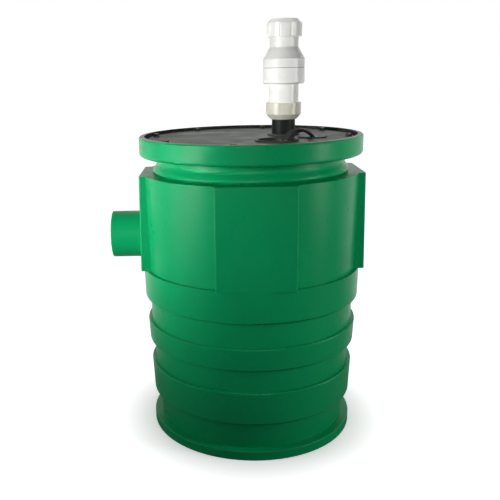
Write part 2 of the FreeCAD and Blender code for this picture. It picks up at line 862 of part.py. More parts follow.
def make_pipe_adapter():
    body = new_body("pipe_adapter")
    foot = port_top - d.adapter_thread_depth
    shoulder_top = port_top + d.adapter_shoulder
    top = port_top + d.adapter_height
    thread = d.port_bore - d.thread_clearance
    socket = d.pipe_radius + d.pipe_clearance
    collar = d.adapter_radius - d.adapter_collar_step
    inner = d.pipe_radius - d.pipe_wall - d.adapter_bore_step
    corners = [(inner, foot), (thread, foot), (thread, port_top), (d.adapter_radius, port_top)]
    corners += [(d.adapter_radius, shoulder_top), (collar, shoulder_top), (collar, top)]
    corners += [(socket, top), (socket, pipe_foot), (inner, pipe_foot)]
    revolve(body, "adapter_turned", corners)
    place(body, d.discharge_x, d.discharge_y)


def flute_nut(body, name, foot, height):
    """Shallow finger flutes round a nut."""
    sketch = new_sketch(body, name + "_circles", "XY_Plane", foot + height)
    reach = d.valve_nut_radius + d.nut_flute_radius - d.nut_flute_depth
    for x, y in around(d.nut_flute_count, reach):
        add_circle(sketch, x, y, d.nut_flute_radius)
    pocket(body, name, sketch, height)


def make_valve_nuts():
    bore = d.pipe_radius + d.pipe_clearance
    lower = new_body("valve_nut_lower")
    foot = d.lower_nut_foot
    lip_top = foot + d.nut_lip
    thread = d.lower_neck_radius + d.pipe_clearance
    mouth = d.valve_nut_radius - d.valve_nut_mouth
    corners = [(bore, foot), (mouth, foot), (d.valve_nut_radius, foot + d.valve_nut_chamfer)]
    corners += [(d.valve_nut_radius, d.lower_nut_top), (thread, d.lower_nut_top), (thread, lip_top)]
    corners += [(bore, lip_top)]
    revolve(lower, "lower_nut_turned", corners)
    flutes_foot = foot + d.valve_nut_chamfer / 2
    flute_nut(lower, "lower_nut_flutes", flutes_foot, d.lower_nut_top - flutes_foot - d.nut_flute_stop)
    place(lower, d.discharge_x, d.discharge_y)

    upper = new_body("valve_nut_upper")
    bore = d.pipe_radius + d.outlet_lip_clearance
    top = d.upper_nut_top
    lip_foot = top - d.nut_lip
    thread = d.upper_neck_radius + d.pipe_clearance
    mouth = d.valve_nut_radius - d.valve_nut_mouth
    bevel_foot = top - d.upper_nut_chamfer
    corners = [(bore, top), (mouth, top), (d.valve_nut_radius, bevel_foot)]
    corners += [(d.valve_nut_radius, d.upper_nut_foot), (thread, d.upper_nut_foot), (thread, lip_foot)]
    corners += [(bore, lip_foot)]
    revolve(upper, "upper_nut_turned", corners)
    flute_nut(upper, "upper_nut_flutes", d.upper_nut_foot, top - d.upper_nut_foot - d.upper_nut_chamfer / 2)
    place(upper, d.discharge_x, d.discharge_y)


def make_valve_pack_rings():
    bore = d.pipe_radius + d.pipe_clearance
    lower = new_body("valve_pack_ring_lower")
    foot = d.lower_nut_foot + d.nut_lip
    outer = d.lower_neck_radius - d.pack_ring_clearance
    revolve(lower, "lower_pack_turned", ring_corners(bore, outer, foot, foot + d.pack_ring_height))
    place(lower, d.discharge_x, d.discharge_y)
    upper = new_body("valve_pack_ring_upper")
    bore = d.pipe_radius + d.outlet_clearance
    top = d.upper_nut_top - d.nut_lip
    outer = d.upper_neck_radius - d.pack_ring_clearance
    revolve(upper, "upper_pack_turned", ring_corners(bore, outer, top - d.pack_ring_height, top))
    place(upper, d.discharge_x, d.discharge_y)


def make_valve_body_lower():
    body = new_body("valve_body_lower")
    bore = d.pipe_radius + d.pipe_clearance
    foot = d.lower_nut_foot + d.nut_lip + d.pack_ring_height
    chamber = d.valve_body_radius - d.valve_wall
    seat_foot = d.valve_body_foot + d.valve_wall
    corners = [(bore, foot), (d.lower_neck_radius, foot), (d.lower_neck_radius, d.valve_body_foot)]
    corners += [(d.valve_body_radius, d.valve_body_foot), (d.valve_body_radius, d.valve_seam)]
    corners += [(chamber, d.valve_seam), (chamber, seat_foot), (d.waterway_radius, seat_foot)]
    corners += [(d.waterway_radius, d.pipe_top), (bore, d.pipe_top)]
    revolve(body, "lower_body_turned", corners)
    round_circles(body, "lower_body_rounding", [(d.valve_body_radius, d.valve_body_foot)], d.valve_body_round)
    lug_outer = d.hinge_offset + d.hinge_pin_radius + d.hinge_lug_outer_wall
    lug_inner = d.hinge_offset - d.hinge_pin_radius - d.hinge_lug_inner_wall
    lug_height = d.seat_height + d.hinge_rise + d.hinge_pin_radius + d.hinge_lug_top_wall
    for side in (-1, 1):
        near = side * d.hinge_half_span
        far = side * (d.hinge_half_span - d.hinge_lug_width)
        low, high = (near, far) if side < 0 else (far, near)
        corners = box_corners(-lug_outer, -lug_inner, low, high)
        name = "hinge_lug_left" if side < 0 else "hinge_lug_right"
        raise_block(body, name, corners, seat_foot, lug_height)
    pin_level = seat_foot + d.seat_height + d.hinge_rise
    clear_half = d.hinge_half_span + d.cut_margin
    hole = new_sketch(body, "hinge_hole_circle", "XZ_Plane", clear_half)
    add_circle(hole, -d.hinge_offset, pin_level, d.hinge_pin_radius + d.rubber_clearance / 2)
    pocket(body, "hinge_hole", hole, 2 * clear_half)
    place(body, d.discharge_x, d.discharge_y)


def make_valve_body_upper():
    body = new_body("valve_body_upper")
    bore = d.pipe_radius + d.outlet_clearance
    chamber = d.valve_body_radius - d.valve_wall
    top = d.upper_nut_top - d.nut_lip - d.pack_ring_height
    stop = top - d.socket_depth
    foot = d.valve_seam + d.body_seal_thickness
    corners = [(chamber, foot), (d.valve_body_radius, foot), (d.valve_body_radius, d.valve_cone_foot)]
    corners += [(d.upper_neck_radius, d.valve_cone_top), (d.upper_neck_radius, top), (bore, top)]
    corners += [(bore, stop), (d.waterway_radius, stop), (d.waterway_radius, d.valve_cone_top)]
    corners += [(chamber, d.valve_cone_foot)]
    revolve(body, "upper_body_turned", corners)
    place(body, d.discharge_x, d.discharge_y)


def make_valve_inner_parts():
    seat_foot = d.valve_body_foot + d.valve_wall
    seat_top = seat_foot + d.seat_height
    seal = new_body("valve_body_seal")
    outer = d.valve_body_radius - d.body_seal_inset
    inner = d.valve_body_radius - d.valve_wall
    top = d.valve_seam + d.body_seal_thickness
    revolve(seal, "body_seal_turned", ring_corners(inner, outer, d.valve_seam, top))
    place(seal, d.discharge_x, d.discharge_y)

    seat = new_body("valve_seat")
    revolve(seat, "seat_turned", ring_corners(d.waterway_radius, d.seat_radius, seat_foot, seat_top))
    place(seat, d.discharge_x, d.discharge_y)

    pin_level = seat_top + d.hinge_rise
    lug_half = d.hinge_half_span - d.hinge_lug_width - d.flapper_clearance
    flapper = new_body("valve_flapper")
    disc_foot = seat_top + d.rubber_clearance
    disc = ring_corners(0, d.flapper_radius, disc_foot, disc_foot + d.flapper_thickness)
    revolve(flapper, "flapper_disc", disc)
    arm = box_corners(-d.hinge_offset, -d.hinge_offset / 2, -lug_half, lug_half)
    rise = d.flapper_arm_rise
    raise_block(flapper, "flapper_arm", arm, disc_foot + rise, d.hinge_rise + rise)
    eye = new_sketch(flapper, "flapper_eye_circle", "XZ_Plane", -lug_half)
    add_circle(eye, -d.hinge_offset, pin_level, d.hinge_pin_radius + d.flapper_eye_wall)
    pad(flapper, "flapper_eye", eye, 2 * lug_half)
    hole = new_sketch(flapper, "flapper_hole_circle", "XZ_Plane", lug_half + d.cut_margin)
    add_circle(hole, -d.hinge_offset, pin_level, d.hinge_pin_radius + d.rubber_clearance)
    pocket(flapper, "flapper_hole", hole, 2 * (lug_half + d.cut_margin))
    place(flapper, d.discharge_x, d.discharge_y)

    pin = new_body("flapper_pin")
    circle = new_sketch(pin, "flapper_pin_circle", "XZ_Plane", -d.hinge_half_span)
    add_circle(circle, -d.hinge_offset, pin_level, d.hinge_pin_radius)
    pad(pin, "flapper_pin_rod", circle, 2 * d.hinge_half_span)
    place(pin, d.discharge_x, d.discharge_y)


# Submersible pump, each piece on the pump's own axis

def on_pump(body):
    """Stands a piece on the pump's axis, turned so that its port meets the discharge pipe."""
    return place(body, pump_x, pump_y, 0, d.pump_turn)


def make_pump_base():
    body = new_body("pump_base")
    plate = ring_corners(d.suction_radius, d.volute_radius, base_plate_foot, volute_foot)
    revolve(body, "base_plate", plate)
    legs = [(x, y, d.leg_radius) for x, y in around(d.leg_count, d.leg_circle, d.first_leg_angle)]
    raise_rods(body, "base_legs", legs, leg_foot, d.leg_height)
    places = around(d.pump_screw_count, d.pump_screw_circle, d.pump_screw_turn)
    hole = d.pump_screw_radius + d.bolt_clearance / 2
    drill(body, "base_holes", [(x, y, hole) for x, y in places], volute_foot, d.base_plate_thickness)
    on_pump(body)


def make_volute():
    body = new_body("volute")
    revolve(body, "volute_drum", ring_corners(0, d.volute_radius, volute_foot, volute_top))
    port = [(d.pump_reach, as_size(0), d.port_radius)]
    raise_rods(body, "volute_port", port, volute_foot, d.volute_height + d.port_rise)
    bridge = box_corners(d.volute_radius / 2, d.pump_reach, -d.port_radius, d.port_radius)
    raise_block(body, "volute_bridge", bridge, volute_foot, d.volute_height)
    drill(body, "volute_chamber", [(as_size(0), as_size(0), chamber_radius)], volute_top, d.volute_height)
    port_depth = d.volute_height + d.port_rise - d.port_floor
    drill(body, "volute_port_bore", [(d.pump_reach, as_size(0), d.port_bore)], port_top, port_depth)
    window = new_sketch(body, "volute_window_outline", "XY_Plane", volute_foot + d.port_window_foot)
    half = d.port_bore - d.port_window_inset
    add_polygon(window, box_corners(d.volute_radius / 2, d.pump_reach, -half, half))
    pocket(body, "volute_window", window, d.port_window_height, reverse=True)
    places = around(d.pump_screw_count, d.pump_screw_circle, d.pump_screw_turn)
    hole = d.pump_screw_radius + d.thread_clearance
    depth = d.pump_screw_hole_depth
    holes = [(x, y, hole) for x, y in places]
    drill(body, "volute_top_holes", holes, volute_top, depth)
    drill(body, "volute_foot_holes", holes, volute_foot + depth, depth)
    on_pump(body)


def make_pump_screws():
    places = around(d.pump_screw_count, d.pump_screw_circle, d.pump_screw_turn)
    reach = d.pump_screw_reach
    base = new_body("pump_base_screws")
    rods = [(x, y, d.pump_screw_radius) for x, y in places]
    heads = [(x, y, d.pump_screw_head) for x, y in places]
    head_height = d.pump_screw_head_height
    raise_rods(base, "base_screw_heads", heads, base_plate_foot - head_height, head_height)
    raise_rods(base, "base_screw_shanks", rods, base_plate_foot, d.base_plate_thickness + reach)
    on_pump(base)
    motor = new_body("motor_screws")
    flange_top = motor_foot + d.motor_flange_thickness
    raise_rods(motor, "motor_screw_heads", heads, flange_top, head_height)
    length = d.motor_flange_thickness + d.seal_plate_thickness + reach
    raise_rods(motor, "motor_screw_shanks", rods, flange_top - length, length)
    on_pump(motor)
    cap = new_body("cap_screws")
    places = around(d.pump_screw_count, d.cap_screw_circle, d.pump_screw_turn)
    heads = [(x, y, d.cap_screw_head) for x, y in places]
    rods = [(x, y, d.cap_screw_radius) for x, y in places]
    length = d.cap_thickness + d.motor_flange_thickness
    raise_rods(cap, "cap_screw_heads", heads, cap_top, head_height)
    raise_rods(cap, "cap_screw_shanks", rods, cap_top - length, length)
    on_pump(cap)


impeller_top = volute_top - d.impeller_headroom
impeller_foot = impeller_top - d.impeller_height
seal_plate_foot = volute_top - d.seal_plate_register
bearing_top = motor_foot + d.bearing_hub_height
bearing_foot = bearing_top - d.bearing_width
shaft_seal_foot = seal_plate_foot + d.shaft_seal_rise
shaft_seal_top = shaft_seal_foot + d.shaft_seal_height
stator_foot = motor_foot + d.stator_foot
stator_top = stator_foot + d.stator_height
cap_hub_foot = motor_top - d.cap_hub_depth
upper_bearing_foot = cap_hub_foot + d.upper_bearing_rise
upper_bearing_top = upper_bearing_foot + d.upper_bearing_width
shaft_step = upper_bearing_foot - d.shaft_step_drop
shaft_end = upper_bearing_top + d.shaft_end_rise


def make_impeller():
    body = new_body("impeller")
    bore = d.shaft_radius + d.bearing_clearance
    plate_foot = impeller_top - d.impeller_plate
    hub = d.impeller_hub_radius
    corners = [(bore, impeller_foot), (hub, impeller_foot), (hub, plate_foot)]
    corners += [(d.impeller_radius, plate_foot), (d.impeller_radius, impeller_top), (bore, impeller_top)]
    revolve(body, "impeller_turned", corners)
    half = d.vane_thickness / 2
    height = d.impeller_height - d.impeller_plate
    step = 360 / int(d.vane_count)
    inner = d.impeller_hub_radius - d.vane_root
    outer = d.impeller_radius - d.vane_tip_inset
    for index in range(int(d.vane_count)):
        angle = step * index
        start_x, start_y = inner * cosine(angle), inner * sine(angle)
        swept = angle + d.vane_sweep
        end_x, end_y = outer * cosine(swept), outer * sine(swept)
        side_x, side_y = half * cosine(swept + 90), half * sine(swept + 90)
        corners = [(start_x + side_x, start_y + side_y), (start_x - side_x, start_y - side_y)]
        corners += [(end_x - side_x, end_y - side_y), (end_x + side_x, end_y + side_y)]
        raise_block(body, f"impeller_vane_{index + 1}", corners, impeller_foot, height)
    on_pump(body)


def make_rotor():
    shaft = new_body("pump_shaft")
    foot = impeller_foot - d.shaft_thread_length
    corners = [(0, foot), (d.shaft_thread_radius, foot), (d.shaft_thread_radius, impeller_foot)]
    corners += [(d.shaft_radius, impeller_foot)]
    corners += [(d.shaft_radius, shaft_step), (d.upper_shaft_radius, shaft_step)]
    corners += [(d.upper_shaft_radius, shaft_end), (0, shaft_end)]
    revolve(shaft, "shaft_turned", corners)
    on_pump(shaft)
    nut = new_body("impeller_nut")
    height = d.impeller_nut_height
    outline = hexagon(as_size(0), as_size(0), d.impeller_nut_radius)
    raise_block(nut, "impeller_nut_hexagon", outline, impeller_foot - height, height)
    bore = [(as_size(0), as_size(0), d.shaft_thread_radius + d.thread_clearance)]
    drill(nut, "impeller_nut_bore", bore, impeller_foot, height)
    on_pump(nut)
    core = new_body("rotor_core")
    outer = d.stator_bore - d.air_gap
    inner = d.shaft_radius + d.bearing_clearance
    foot, top = stator_foot + d.rotor_core_inset, stator_top - d.rotor_core_inset
    revolve(core, "rotor_core_turned", ring_corners(inner, outer, foot, top))
    on_pump(core)


def make_seal_plate():
    body = new_body("seal_plate")
    passage = d.shaft_radius + d.shaft_clearance
    seal_bore = d.shaft_seal_radius + d.bearing_clearance
    bearing_bore = d.bearing_radius + d.bearing_clearance
    register = chamber_radius - d.pipe_clearance
    corners = [(seal_bore, seal_plate_foot), (register, seal_plate_foot), (register, volute_top)]
    corners += [(d.volute_radius, volute_top), (d.volute_radius, motor_foot)]
    corners += [(d.bearing_hub_radius, motor_foot), (d.bearing_hub_radius, bearing_top)]
    corners += [(bearing_bore, bearing_top), (bearing_bore, bearing_foot), (passage, bearing_foot)]
    corners += [(passage, shaft_seal_top), (seal_bore, shaft_seal_top)]
    revolve(body, "seal_plate_turned", corners)
    places = around(d.pump_screw_count, d.pump_screw_circle, d.pump_screw_turn)
    hole = d.pump_screw_radius + d.bolt_clearance / 2
    drill(body, "seal_plate_holes", [(x, y, hole) for x, y in places], motor_foot, d.seal_plate_thickness)
    on_pump(body)


def make_bearings():
    lower = new_body("lower_bearing")
    inner = d.shaft_radius + d.bearing_clearance
    revolve(lower, "lower_bearing_turned", ring_corners(inner, d.bearing_radius, bearing_foot, bearing_top))
    on_pump(lower)
    upper = new_body("upper_bearing")
    inner = d.upper_shaft_radius + d.bearing_clearance
    ring = ring_corners(inner, d.upper_bearing_radius, upper_bearing_foot, upper_bearing_top)
    revolve(upper, "upper_bearing_turned", ring)
    on_pump(upper)
    seal = new_body("shaft_seal")
    inner = d.shaft_radius + d.bearing_clearance
    ring = ring_corners(inner, d.shaft_seal_radius, shaft_seal_foot, shaft_seal_top)
    revolve(seal, "shaft_seal_turned", ring)
    on_pump(seal)


def make_motor_housing():
    body = new_body("motor_housing")
    flange_top = motor_foot + d.motor_flange_thickness
    collar_foot = motor_top - d.motor_flange_thickness
    corners = [(motor_bore, motor_foot), (d.volute_radius, motor_foot), (d.volute_radius, flange_top)]
    corners += [(d.motor_radius, flange_top), (d.motor_radius, collar_foot)]
    corners += [(d.cap_flange_radius, collar_foot), (d.cap_flange_radius, motor_top), (motor_bore, motor_top)]
    revolve(body, "housing_turned", corners)
    half = d.rib_thickness / 2
    inner = d.motor_radius - d.rib_root
    outer = d.motor_radius + d.rib_height
    ribs = new_sketch(body, "housing_ribs_outline", "XY_Plane", flange_top)
    step = 360 / int(d.rib_count)
    for index in range(int(d.rib_count)):
        angle = step * index
        along_x, along_y = cosine(angle), sine(angle)
        corners = []
        for reach, side in ((inner, -1), (outer, -1), (outer, 1), (inner, 1)):
            corners.append((reach * along_x - side * half * along_y, reach * along_y + side * half * along_x))
        add_polygon(ribs, corners)
    pad(body, "housing_ribs", ribs, collar_foot - flange_top)
    hole = d.pump_screw_radius + d.bolt_clearance / 2
    places = around(d.pump_screw_count, d.pump_screw_circle, d.pump_screw_turn)
    drill(body, "flange_holes", [(x, y, hole) for x, y in places], flange_top, d.motor_flange_thickness)
    hole = d.cap_screw_radius + d.thread_clearance
    places = around(d.pump_screw_count, d.cap_screw_circle, d.pump_screw_turn)
    drill(body, "collar_holes", [(x, y, hole) for x, y in places], motor_top, d.motor_flange_thickness)
    on_pump(body)


def make_stator():
    core = new_body("stator_core")
    outer = motor_bore - d.bearing_clearance
    revolve(core, "stator_core_turned", ring_corners(d.stator_bore, outer, stator_foot, stator_top))
    on_pump(core)
    windings = new_body("stator_windings")
    lower_foot = stator_foot - d.winding_height
    upper_top = stator_top + d.winding_height
    inner, outer = d.winding_inner, d.winding_outer
    revolve(windings, "lower_winding", ring_corners(inner, outer, lower_foot, stator_foot))
    revolve(windings, "upper_winding", ring_corners(inner, outer, stator_top, upper_top))
    round_circles(windings, "winding_rounding", [(outer, lower_foot), (outer, upper_top)], d.winding_round)
    on_pump(windings)


def make_motor_cap():
    body = new_body("motor_cap")
    register = motor_bore - d.pipe_clearance
    register_foot = motor_top - d.seal_plate_register
    bearing_bore = d.upper_bearing_radius + d.bearing_clearance
    pocket_top = upper_bearing_top + d.cap_hub_headroom
    corners = [(0, pocket_top), (bearing_bore, pocket_top), (bearing_bore, cap_hub_foot)]
    corners += [(d.cap_hub_radius, cap_hub_foot), (d.cap_hub_radius, register_foot)]
    corners += [(register, register_foot), (register, motor_top), (d.cap_flange_radius, motor_top)]
    corners += [(d.cap_flange_radius, cap_top)]
    corners += [(d.cap_dome_radius, cap_top), (d.cap_dome_radius, dome_top), (0, dome_top)]
    revolve(body, "cap_turned", corners)
    round_circles(body, "cap_rounding", [(d.cap_dome_radius, dome_top)], d.cap_dome_height / 2)
    hole = d.cap_screw_radius + d.bolt_clearance / 2
    places = around(d.pump_screw_count, d.cap_screw_circle, d.pump_screw_turn)
    drill(body, "cap_holes", [(x, y, hole) for x, y in places], cap_top, d.cap_thickness)
    cord_hole = [(-d.gland_offset, as_size(0), d.power_cord_radius + d.cord_clearance)]
    drill(body, "cap_cord_hole", cord_hole, dome_top, d.cap_cord_hole_depth)
    on_pump(body)


def make_cord_gland():
    body = new_body("cord_gland")
    outline = hexagon(-d.gland_offset, as_size(0), d.gland_radius)
    raise_block(body, "gland_hexagon", outline, dome_top, d.gland_height / 2)
    sleeve = [(-d.gland_offset, as_size(0), d.gland_sleeve_radius)]
    raise_rods(body, "gland_sleeve", sleeve, dome_top + d.gland_height / 2, d.gland_height / 2)
    bore = [(-d.gland_offset, as_size(0), d.power_cord_radius + d.cord_clearance)]
    drill(body, "gland_bore", bore, dome_top + d.gland_height, d.gland_height)
    on_pump(body)


# Float switch on a clamp round the discharge pipe

def on_float(body):
    """Turns a piece of the float switch to the side where the float swings."""
    return place(body, d.discharge_x, d.discharge_y, d.float_height, d.float_turn)


def make_float_clamp():
    body = new_body("float_clamp")
    inner = d.pipe_radius + d.pipe_clearance
    outer = inner + d.clamp_wall
    half = d.clamp_width / 2
    revolve(body, "clamp_band", ring_corners(0, outer, -half, half))
    margin = d.cut_margin
    fork_foot = outer - d.clamp_overlap
    fork_tip = d.pivot_reach + d.eye_radius / 2
    block = box_corners(fork_foot, fork_tip, -d.fork_half_width, d.fork_half_width)
    raise_block(body, "clamp_fork", block, -d.fork_half_height, 2 * d.fork_half_height)
    ear_tip, ear_half = outer + d.clamp_ear_reach, d.clamp_ear_half_width
    ears = box_corners(-ear_tip, -outer + d.clamp_overlap, -ear_half, ear_half)
    raise_block(body, "clamp_ears", ears, -half, d.clamp_width)
    tool_top = d.fork_half_height + margin
    drill(body, "clamp_bore", [(as_size(0), as_size(0), inner)], tool_top, 2 * tool_top)
    slot_foot = d.pivot_reach - d.eye_radius - d.fork_slot_clearance
    slot = box_corners(slot_foot, fork_tip + margin, -d.fork_gap, d.fork_gap)
    cut_block(body, "clamp_slot", slot, tool_top, 2 * tool_top)
    gap_half = d.clamp_gap_half_width
    gap = box_corners(-ear_tip - margin, -inner + margin, -gap_half, gap_half)
    cut_block(body, "clamp_gap", gap, half + margin, 2 * (half + margin))
    clear_half = d.fork_half_width + margin
    hole = new_sketch(body, "pivot_hole_circle", "XZ_Plane", clear_half)
    add_circle(hole, d.pivot_reach, 0, d.pivot_pin_radius + d.rubber_clearance / 2)
    pocket(body, "pivot_hole", hole, 2 * clear_half)
    clear_half = ear_half + margin
    hole = new_sketch(body, "clamp_screw_hole_circle", "XZ_Plane", clear_half)
    add_circle(hole, -outer - d.clamp_screw_offset, 0, d.clamp_screw_radius + d.thread_clearance)
    pocket(body, "clamp_screw_hole", hole, 2 * clear_half)
    on_float(body)


def make_float_pins():
    screw = new_body("float_clamp_screw")
    across = -(d.pipe_radius + d.pipe_clearance + d.clamp_wall + d.clamp_screw_offset)
    shank = new_sketch(screw, "clamp_screw_shank_circle", "XZ_Plane", -d.clamp_screw_foot)
    add_circle(shank, across, 0, d.clamp_screw_radius)
    pad(screw, "clamp_screw_shank", shank, d.clamp_screw_foot + d.clamp_ear_half_width)
    head = new_sketch(screw, "clamp_screw_head_circle", "XZ_Plane", d.clamp_ear_half_width)
    add_circle(head, across, 0, d.clamp_screw_radius + d.clamp_screw_head_rise)
    pad(screw, "clamp_screw_head", head, d.clamp_screw_head_height)
    on_float(screw)
    pin = new_body("float_pivot_pin")
    circle = new_sketch(pin, "pivot_pin_circle", "XZ_Plane", -d.fork_half_width)
    add_circle(circle, d.pivot_reach, 0, d.pivot_pin_radius)
    pad(pin, "pivot_pin_rod", circle, 2 * d.fork_half_width)
    on_float(pin)


def hang_float(body):
    """Hangs a piece of the float switch on its pivot, leaning down from the level by the hanging angle."""
    x = d.discharge_x + d.pivot_reach * cosine(d.float_turn)
    y = d.discharge_y + d.pivot_reach * sine(d.float_turn)
    where = f"vector({x.text}; {y.text}; {d.float_height.text})"
    lean = f"rotation({d.float_turn.text}; {d.float_hang.text}; 0)"
    body.setExpression("Placement", f"placement({where}; {lean})")
    doc.recompute()


def make_float():
    tether = new_body("float_tether")
    eye = new_sketch(tether, "tether_eye_circle", "XZ_Plane", -d.eye_half_width)
    add_circle(eye, 0, 0, d.eye_radius)
    pad(tether, "tether_eye", eye, 2 * d.eye_half_width)
    rod = new_sketch(tether, "tether_rod_circle", "YZ_Plane", d.eye_radius / 2)
    add_circle(rod, 0, 0, d.tether_radius)
    pad(tether, "tether_rod", rod, d.tether_length - d.eye_radius / 2)
    clear_half = d.eye_half_width + d.cut_margin
    hole = new_sketch(tether, "tether_hole_circle", "XZ_Plane", clear_half)
    add_circle(hole, 0, 0, d.pivot_pin_radius + d.rubber_clearance)
    pocket(tether, "tether_hole", hole, 2 * clear_half)
    hang_float(tether)

    body = new_body("float_switch")
    start = as_size(d.tether_length)
    nose = d.float_nose
    radius = d.float_radius
    sketch = new_sketch(body, "float_section", "XZ_Plane")
    end = start + d.float_length
    outline = [(start, 0), (start, radius / 3), (start + nose, radius), (end - nose, radius)]
    outline += [(end, radius / 2), (end, 0)]
    add_polygon(sketch, outline)
    turn = body.newObject("PartDesign::Revolution", "float_turned")
    turn.Profile = sketch
    turn.ReferenceAxis = (sketch, ["H_Axis"])
    turn.Angle = 360
    doc.recompute()
    hang_float(body)


make_basin()
make_inlet_stub()
make_cover()
make_cover_gasket()
make_cover_fastenings()
pipe_bore = d.pipe_radius + d.rubber_clearance
seal_flange, seal_neck = d.discharge_seal_flange, d.discharge_seal_neck
make_seal("discharge_seal", d.discharge_x, d.discharge_y, seal_flange, seal_neck, pipe_bore)
make_seal("vent_seal", d.vent_x, d.vent_y, d.vent_seal_flange, d.vent_seal_neck, d.vent_bore)
make_discharge_pipe()
make_pipe_adapter()
make_valve_nuts()
make_valve_pack_rings()
make_valve_body_lower()
make_valve_body_upper()
make_valve_inner_parts()
make_pump_base()
make_volute()
make_pump_screws()
make_impeller()
make_rotor()
make_seal_plate()
make_bearings()
make_motor_housing()
make_stator()
make_motor_cap()
make_cord_gland()
make_float_clamp()
make_float_pins()
make_float()

# Cord seal: a rubber plug whose two slanting holes follow the cords

POWER_EXIT = (161.9, -52.7, 763)
POWER_RISER = [
    (-73.7, -9.5, 350),
    (-73.7, -9.5, 394),
    (-64, -9.2, 438),
    (-34, -8, 466),
    (6, -6, 474),
    (40, -4.5, 492),
    (60.5, -3.2, 515),
    (66.8, -2.2, 548),
    (66.8, -2.2, 584),
    (76, -15, 612),
    (103, -24, 631),
    (138, -17, 648),
    (171, -11, 666),
    (187, -19, 698),
    (179.5, -36.3, 733.6),
    POWER_EXIT,
]
POWER_RUN = [
    POWER_EXIT,
    (147, -66.6, 787.8),
    (126.7, -87.5, 795.8),
    (103.3, -112, 790.8),
    (85.4, -131, 775.8),
    (72.8, -145, 747),
    (69.8, -148.5, 712),
    (67, -143, 665),
    (65, -133, 590),
    (67, -121, 490),
    (71, -110, 390),
    (73, -103.5, 290),
    (70, -100, 200),
    (64, -98, 135),
    (55, -101, 88),
    (49, -112, 56),
    (48.5, -136, 38),
    (56, -163, 31.3),
]
POWER_COIL_CENTRE = (105, -135)
POWER_TAIL = [(160.5, -112, 14.3), (161, -90, 15.6), (161, -67, 24), (161, -44, 24)]
POWER_PLUG_TURN = 90
FLOAT_EXIT = (166.1, -63.4, 763)
FLOAT_RISER = [
    (106, -5, 409),
    (106, -5, 475),
    (107, -5.6, 545),
    (118, -4.5, 596),
    (148, -3, 626),
    (180, -8, 652),
    (197, -26, 690),
    (187.1, -42.2, 739.5),
    FLOAT_EXIT,
]
FLOAT_RUN = [
    FLOAT_EXIT,
    (147.9, -81.8, 783.4),
    (119.9, -108, 799.1),
    (95.2, -128.2, 797.6),
    (74.6, -143.5, 781),
    (61.2, -153.5, 751.5),
    (58.9, -154.8, 716.6),
    (55, -154, 668),
    (50, -147, 590),
    (49.5, -138, 485),
    (44, -131, 375),
    (41.5, -122, 265),
    (36, -120, 172),
    (28, -117, 106),
    (8, -111, 62),
    (-26, -101, 38),
    (-68, -94.8, 30.1),
]
FLOAT_COIL_CENTRE = (-75, -150)
FLOAT_TAIL = [(-68.3, -90.4, 14), (-87.3, -79.4, 15.3), (-108.1, -67.4, 24), (-127.15, -56.4, 24)]
FLOAT_PLUG_TURN = 150


def cylinder(name, radius, height, x, y, z):
    """A bound upright cylinder."""
    rod = doc.addObject("Part::Cylinder", name)
    rod.setExpression("Radius", as_size(radius).text)
    rod.setExpression("Height", as_size(height).text)
    rod.setExpression("Placement.Base.x", as_size(x).text)
    rod.setExpression("Placement.Base.y", as_size(y).text)
    rod.setExpression("Placement.Base.z", as_size(z).text)
    return rod


def make_cord_seal():
    x, y = d.cord_seal_x, d.cord_seal_y
    lip_foot = cover_foot - d.seal_lip
    plug = doc.addObject("Part::MultiFuse", "cord_seal_plug")
    neck_height = d.cover_thickness + 2 * d.seal_lip
    plug.Shapes = [
        cylinder("cord_seal_neck_rod", d.cord_seal_neck, neck_height, x, y, lip_foot),
        cylinder("cord_seal_top_disc", d.cord_seal_flange, d.seal_lip, x, y, cover_top),
        cylinder("cord_seal_foot_disc", d.cord_seal_flange - d.seal_foot_inset, d.seal_lip, x, y, lip_foot),
    ]
    tools = []
    half_length = float(d.cord_hole_length / 2)
    cords = (("power", POWER_RUN, d.power_cord_radius), ("float", FLOAT_RUN, d.float_cord_radius))
    for name, run, radius in cords:
        start, ahead = Vector(*run[0]), Vector(*run[1])
        direction = Vector(ahead - start).normalize()
        tool = doc.addObject("Part::Cylinder", name + "_cord_hole")
        tool.setExpression("Radius", (radius + d.rubber_clearance).text)
        tool.setExpression("Height", d.cord_hole_length.text)
        tool.Placement = Placement(start - direction * half_length, Rotation(Vector(0, 0, 1), direction))
        tools.append(tool)
    holes = doc.addObject("Part::MultiFuse", "cord_seal_holes")
    holes.Shapes = tools
    seal = doc.addObject("Part::Cut", "cord_seal")
    seal.Base = plug
    seal.Tool = holes
    doc.recompute()
    SUBPARTS.append(seal)


def rounded_path(points, bend=None):
    """A wire of straight runs joined by arcs, as large as the runs allow or of one given radius."""
    spots = [Vector(*point) for point in points]
    edges = []
    radii = []
    start = spots[0]
    for before, corner, after in zip(spots, spots[1:], spots[2:]):
        run_in, run_out = corner - before, after - corner
        half_turn = run_in.getAngle(run_out) / 2
        reach = bend * math.tan(half_turn) if bend else 0.45 * min(run_in.Length, run_out.Length)
        radius = reach / math.tan(half_turn)
        run_in.normalize()
        run_out.normalize()
        arc_start = corner - run_in * reach
        arc_end = corner + run_out * reach
        inwards = Vector(run_out - run_in).normalize()
        arc_middle = corner + inwards * (radius / math.cos(half_turn) - radius)
        edges.append(Part.LineSegment(start, arc_start).toShape())
        edges.append(Part.Arc(arc_start, arc_middle, arc_end).toShape())
        radii.append(radius)
        start = arc_end
    edges.append(Part.LineSegment(start, spots[-1]).toShape())
    return Part.Wire(edges), radii


